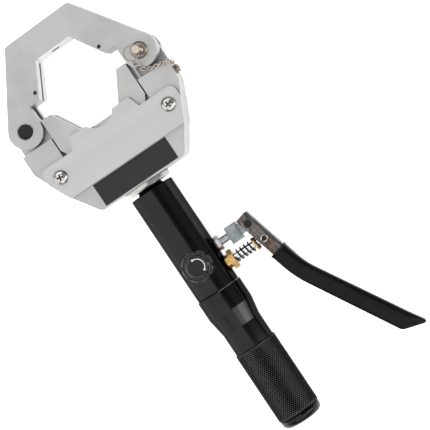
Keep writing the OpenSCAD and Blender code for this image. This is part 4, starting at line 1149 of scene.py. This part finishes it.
@dataclass
class Lever:
    """Pressed lever channel, its pins and the sleeve of the handle.

    The lever's path runs down from the fulcrum pin: neck_mm straight, round the bend, and straight_mm
    straight. The sleeve starts start_mm down it. inner_mm and outer_mm are its edges left and right of the
    path, at its start and its tip, where corner_mm rounds them. oval_power and draft have their first value
    at its start and reach their second settled_mm on. A face with more than back_share of its normal out
    of the channel's back belongs to the bent back.
    """

    shop: Workshop
    tilt_deg: float = 15.0
    bend_deg: float = 15.0
    bend_r_mm: float = 90.0
    neck_mm: float = 45.0
    start_mm: float = 33.0
    straight_mm: float = 103.0
    inner_mm: tuple[float, float] = (-8.2, -8.1)
    outer_mm: tuple[float, float] = (7.9, 9.9)
    side_mm: float = 9.9
    side_power: float = 0.25
    slant_mm: float = 15.5
    tip_more_mm: float = 2.5
    tip_drop_mm: float = 0.2
    corner_mm: tuple[float, float] = (3.0, 8.0)
    corner_points: int = 14
    stations: int = 110
    station_power: float = 1.7
    ring_points: int = 72
    lip_mm: float = 0.6
    lip_run_mm: float = 2.5
    mouth_mm: float = 0.5
    mouth_deep_mm: float = 12.0
    mouth_share: float = 0.86
    oval_power: tuple[float, float] = (0.6, 0.42)
    draft: tuple[float, float] = (0.0, 0.2)
    settled_mm: float = 30.0
    pin_ring_mm: float = 0.75
    pin_dimple_deep_mm: float = 0.4
    pin_end_mm2: float = 16.0
    end_corner_mm: float = 1.8
    back_share: float = 0.3

    def ways(self) -> tuple[Vector, Vector]:
        """The unit vectors along the tilted channel and out of its back."""
        tilt = math.radians(self.tilt_deg)
        return Vector((-math.sin(tilt), math.cos(tilt), 0)), Vector((math.cos(tilt), math.sin(tilt), 0))

    def build(self) -> None:
        """Dresses the lever."""
        shop = self.shop
        channel = shop.ease("lever_channel", "lever", PRESSED_ZINC, ease_mm=0.7)
        self.round_end(channel)
        outward = face_values(channel, "normal") @ np.array(self.ways()[1])
        shop.split(channel, RUBBED_ZINC, outward > self.back_share)
        shop.ease("fulcrum_pin", "lever", BLACK_OXIDE, ease_mm=0.1)
        self.dimple(shop.ease("plunger_pin", "lever", BRIGHT_ZINC, ease_mm=0.1))
        shop.add(self.handle(), "lever", "lever_handle")

    def round_end(self, channel: bpy.types.Object) -> None:
        """Rounds the corner between the channel's upper end and its back.

        Args:
            channel: The lever channel.
        """
        up, back = self.ways()
        with opened(channel.data) as work:
            ends = [face for face in work.faces if face.normal.dot(up) > FACING]
            corner = {
                edge
                for face in ends
                for edge in face.edges
                for other in edge.link_faces
                if other.normal.dot(back) > self.back_share
            }
            width = self.end_corner_mm * MM
            bmesh.ops.bevel(work, geom=list(corner), offset=width, segments=4, profile=0.5, affect="EDGES")

    def dimple(self, pin: bpy.types.Object) -> None:
        """Sinks a dark dimple in both ends of a pin, inside a bright ring.

        Args:
            pin: The pin, which lies along Z.
        """
        least = self.pin_end_mm2 * MM**2
        ring, deep = self.pin_ring_mm * MM, self.pin_dimple_deep_mm * MM
        with opened(pin.data) as work:
            ends = [face for face in work.faces if abs(face.normal.z) > FACING and face.calc_area() > least]
            bmesh.ops.inset_region(work, faces=ends, thickness=ring, depth=-deep)
            for face in ends:
                face.material_index = 1
        pin.data.materials.append(self.shop.material(BLACK_OXIDE))

    def edges(self) -> tuple[np.ndarray, np.ndarray, np.ndarray]:
        """Both edges of the sleeve seen from the front, read off one outline with rounded end corners.

        The stations lie closer together towards the tip: their distance from it falls with a power of
        what is left.

        Returns:
            The stations from the sleeve's start down the lever's path, and the inner and the outer edge's
            place across it, in millimetres.
        """
        before, bend_run = self.neck_mm - self.start_mm, self.bend_r_mm * math.radians(self.bend_deg)
        run = before + bend_run + self.straight_mm
        corners = [
            (0.0, self.inner_mm[0]),
            (run - self.slant_mm, self.inner_mm[1]),
            (run + self.tip_more_mm, self.outer_mm[1] - self.tip_drop_mm),
            (0.0, self.outer_mm[0]),
        ]
        outline = rounded(corners, list(self.corner_mm), self.corner_points)
        tip = int(np.argmax(outline[:, 0]))
        s = outline[tip, 0] * (1 - (1 - np.linspace(0, 1, self.stations)) ** self.station_power)
        inner = np.interp(s, outline[: tip + 1, 0], outline[: tip + 1, 1])
        outer = np.interp(s, outline[tip:, 0][::-1], outline[tip:, 1][::-1])
        return s, inner, outer

    def path(self, s: np.ndarray) -> tuple[np.ndarray, np.ndarray, np.ndarray]:
        """The lever's path, before its tilt: straight down the neck, round the bend and straight on.

        Args:
            s: Stations from the sleeve's start, in millimetres.

        Returns:
            X and Y of each station from the fulcrum pin, in millimetres, and how far the path has turned.
        """
        before, bend = self.neck_mm - self.start_mm, math.radians(self.bend_deg)
        bend_run = self.bend_r_mm * bend
        turn = np.clip((s - before) / bend_run, 0, 1) * bend
        past = np.maximum(s - before - bend_run, 0)
        down = self.start_mm + np.minimum(s, before)
        x = self.bend_r_mm * (1 - np.cos(turn)) + past * np.sin(turn)
        y = -down - self.bend_r_mm * np.sin(turn) - past * np.cos(turn)
        return x, y, turn

    def handle(self) -> bpy.types.Object:
        """The dipped sleeve of the handle, swept along the lever's path and slanted at its end.

        Across the path the sleeve is a rounded oval: half its width times the sign and power of the
        cosine, half its height times those of the sine, with a draft that makes it narrower towards the
        back. The height falls with a power of the width towards the tip. The first three rings are the
        hollow mouth round the channel.

        Returns:
            The sleeve, in one closed mesh.
        """
        s, inner, outer = self.edges()
        width, middle = outer - inner, (inner + outer) / 2
        side = self.side_mm * np.clip(width / width[0], 0, 1) ** self.side_power
        lip = self.lip_mm * np.clip(1 - s / self.lip_run_mm, 0, 1) ** 2
        mouth = np.array([0.0, self.mouth_share, self.mouth_share])
        s = np.concatenate([[self.mouth_deep_mm, self.mouth_deep_mm, self.mouth_mm], s, s[-1:]])
        half = np.concatenate([mouth * width[0] / 2, width / 2 + lip, [0.0]])[:, None]
        side = np.concatenate([mouth * side[0], side + lip, [0.0]])[:, None]
        middle = np.concatenate([np.full(len(mouth), middle[0]), middle, middle[-1:]])[:, None]
        power = np.interp(s, [0, self.settled_mm], self.oval_power)[:, None]
        draft = np.interp(s, [0, self.settled_mm], self.draft)[:, None]
        angle = np.linspace(0, 2 * np.pi, self.ring_points, endpoint=False)[None, :]
        cos, sin = np.cos(angle), np.sin(angle)
        bulge = np.sign(sin) * np.abs(sin) ** power
        across = middle + half * np.sign(cos) * np.abs(cos) ** power * (1 - draft * (1 - bulge) / 2)
        path_x, path_y, turn = self.path(s)
        x = path_x[:, None] + across * np.cos(turn)[:, None]
        y = path_y[:, None] + across * np.sin(turn)[:, None]
        up, out = self.ways()
        pivot = sum(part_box("fulcrum_pin"), Vector()) / 2
        grid = np.stack(
            [
                pivot.x + (x * out.x + y * up.x) * MM,
                pivot.y + (x * out.y + y * up.y) * MM,
                side * bulge * MM,
            ],
            axis=-1,
        )
        faces = grid_faces(len(grid), self.ring_points, closed_columns=True)
        return finished("handle_sleeve", grid, faces, self.shop.material(DIPPED_VINYL), sharp_deg=50.0)


@dataclass(frozen=True)
class Panel:
    """A soft rectangular light: its centre, the point it faces, its width and height, and its radiance.

    The width lies level until the panel is rolled about its own normal. Radiance is the tone that a
    mirror would show.
    """

    name: str
    at_mm: tuple[float, float, float]
    aim_mm: tuple[float, float, float]
    size_mm: tuple[float, float]
    radiance: float
    roll_deg: float = 0.0

    def build(self) -> None:
        """Hangs the panel."""
        data = bpy.data.lights.new(self.name, "AREA")
        data.shape = "RECTANGLE"
        data.size, data.size_y = (side * MM for side in self.size_mm)
        # Blender spreads an area light's power over four times its area to give its radiance
        data.energy = self.radiance * 4 * data.size * data.size_y
        place = Vector(self.at_mm) * MM
        facing = (Vector(self.aim_mm) * MM - place).to_track_quat("-Z", "Y")
        facing = facing @ Quaternion((0, 0, 1), math.radians(self.roll_deg))
        placed(self.name, data).matrix_world = Matrix.LocRotScale(place, facing, None)


@dataclass
class Studio:
    """White sheet, soft panels and the camera of the photograph.

    A wide panel hangs over the left of the tool and ends a little right of the camera, so that the round
    body shows a bright half, a sharp line and a dark half. Panels past both ends of the tool light the
    sheet without showing in the body, and two narrow ones low on the right show in the housing's cone and
    waist. The sheet glows less on the right, where it shows in the dark half, the ground flats and the
    head's edges.
    """

    camera_at_mm: tuple[float, float, float] = (216.7, -158.6, 1439.0)
    aim_mm: tuple[float, float, float] = (32.99, -159.35, 0.0)
    up_deg: float = 33.955
    focal_px: float = 1726.0
    frame_px: float = 430.0
    sensor_mm: float = 36.0
    view_depth_m: float = 20.0
    room_tone: float = 0.18
    sheet_left_glow: float = 1.1
    sheet_right_glow: float = 0.6
    sheet_fade_m: float = 0.03
    sheet_half_m: float = 3.0
    sheet_roughness: float = 0.9
    panels: tuple[Panel, ...] = (
        Panel("panel_over_left", (-1140.0, -160.0, 2200.0), (-1140.0, -160.0, 0.0), (2800.0, 2400.0), 1.2),
        Panel("panel_left", (-2600.0, -160.0, 900.0), (0.0, -160.0, 300.0), (3000.0, 2200.0), 1.2),
        Panel("panel_head", (0.0, 2000.0, 2200.0), (0.0, 0.0, 0.0), (3400.0, 1200.0), 2.3),
        Panel("panel_grip", (0.0, -2300.0, 2200.0), (0.0, -160.0, 0.0), (3400.0, 1200.0), 2.3),
        Panel("panel_right", (2200.0, -160.0, 1350.0), (0.0, -160.0, 0.0), (1400.0, 1900.0), 0.2),
        Panel("panel_cone", (1265.0, -859.0, 947.0), (0.0, -240.0, 0.0), (420.0, 3000.0), 2.6, 19.4),
        Panel("panel_cone_middle", (1251.0, -817.0, 840.0), (0.0, -240.0, 0.0), (420.0, 1000.0), 2.6, 19.4),
    )

    def build(self) -> None:
        """Makes the camera, the sheet, the panels and the room's own tone."""
        self.camera()
        self.sheet()
        for panel in self.panels:
            panel.build()
        world = bpy.data.worlds.new("room")
        world.use_nodes = True
        shade = world.node_tree.nodes["Background"]
        shade.inputs["Color"].default_value = linear("#FFFFFF")
        shade.inputs["Strength"].default_value = self.room_tone
        bpy.context.scene.world = world
        bpy.context.scene.view_settings.view_transform = "Standard"
        LOG.info("studio: %d panels", len(self.panels))

    def camera(self) -> None:
        """Stands the camera where the photograph was taken from, turned so that the tool lies aslant."""
        data = bpy.data.cameras.new("camera")
        data.sensor_width = self.sensor_mm
        data.lens = self.sensor_mm * self.focal_px / self.frame_px
        data.clip_end = self.view_depth_m
        camera = placed("camera", data)
        place = Vector(self.camera_at_mm) * MM
        back = (place - Vector(self.aim_mm) * MM).normalized()
        lean = math.radians(self.up_deg)
        right = Vector((math.sin(lean), math.cos(lean), 0.0)).cross(back).normalized()
        up = back.cross(right)
        turn = Matrix((right, up, back)).transposed()
        camera.matrix_world = Matrix.LocRotScale(place, turn.to_quaternion(), None)
        bpy.context.scene.camera = camera

    def sheet(self) -> None:
        """Lays a white sheet under the lowest point of the tool."""
        low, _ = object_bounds()
        half = self.sheet_half_m
        corners = [(-half, -half), (half, -half), (half, half), (-half, half)]
        mesh = bpy.data.meshes.new("sheet")
        mesh.from_pydata([(x, y, low.z) for x, y in corners], [], [(0, 1, 2, 3)])
        material = bpy.data.materials.new("white_paper_sheet")
        material.use_nodes = True
        shader = material.node_tree.nodes["Principled BSDF"]
        shader.inputs["Base Color"].default_value = linear("#FBFBFB")
        shader.inputs["Roughness"].default_value = self.sheet_roughness
        shader.inputs["Emission Color"].default_value = linear("#FFFFFF")
        tree = material.node_tree
        place = add_node(tree, "ShaderNodeTexCoord")
        across = add_node(tree, "ShaderNodeSeparateXYZ", {0: place.outputs["Object"]})
        fade = {"Value": across.outputs["X"], "From Min": -self.sheet_fade_m, "From Max": self.sheet_fade_m}
        fade |= {"To Min": self.sheet_left_glow, "To Max": self.sheet_right_glow}
        glow = add_node(tree, "ShaderNodeMapRange", fade)
        tree.links.new(glow.outputs[0], shader.inputs["Emission Strength"])
        mesh.materials.append(material)
        sheet = placed("sheet", mesh)
        sheet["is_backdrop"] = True


def main() -> None:
    logging.basicConfig(level=logging.INFO, format="%(message)s")
    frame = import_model()
    shop = Workshop(frame)
    Studio().build()
    for assembly in (Head, Latch, PumpBody, ReleaseValve, PumpSide, Lever):
        assembly(shop).build()


if __name__ == "__main__":
    main()
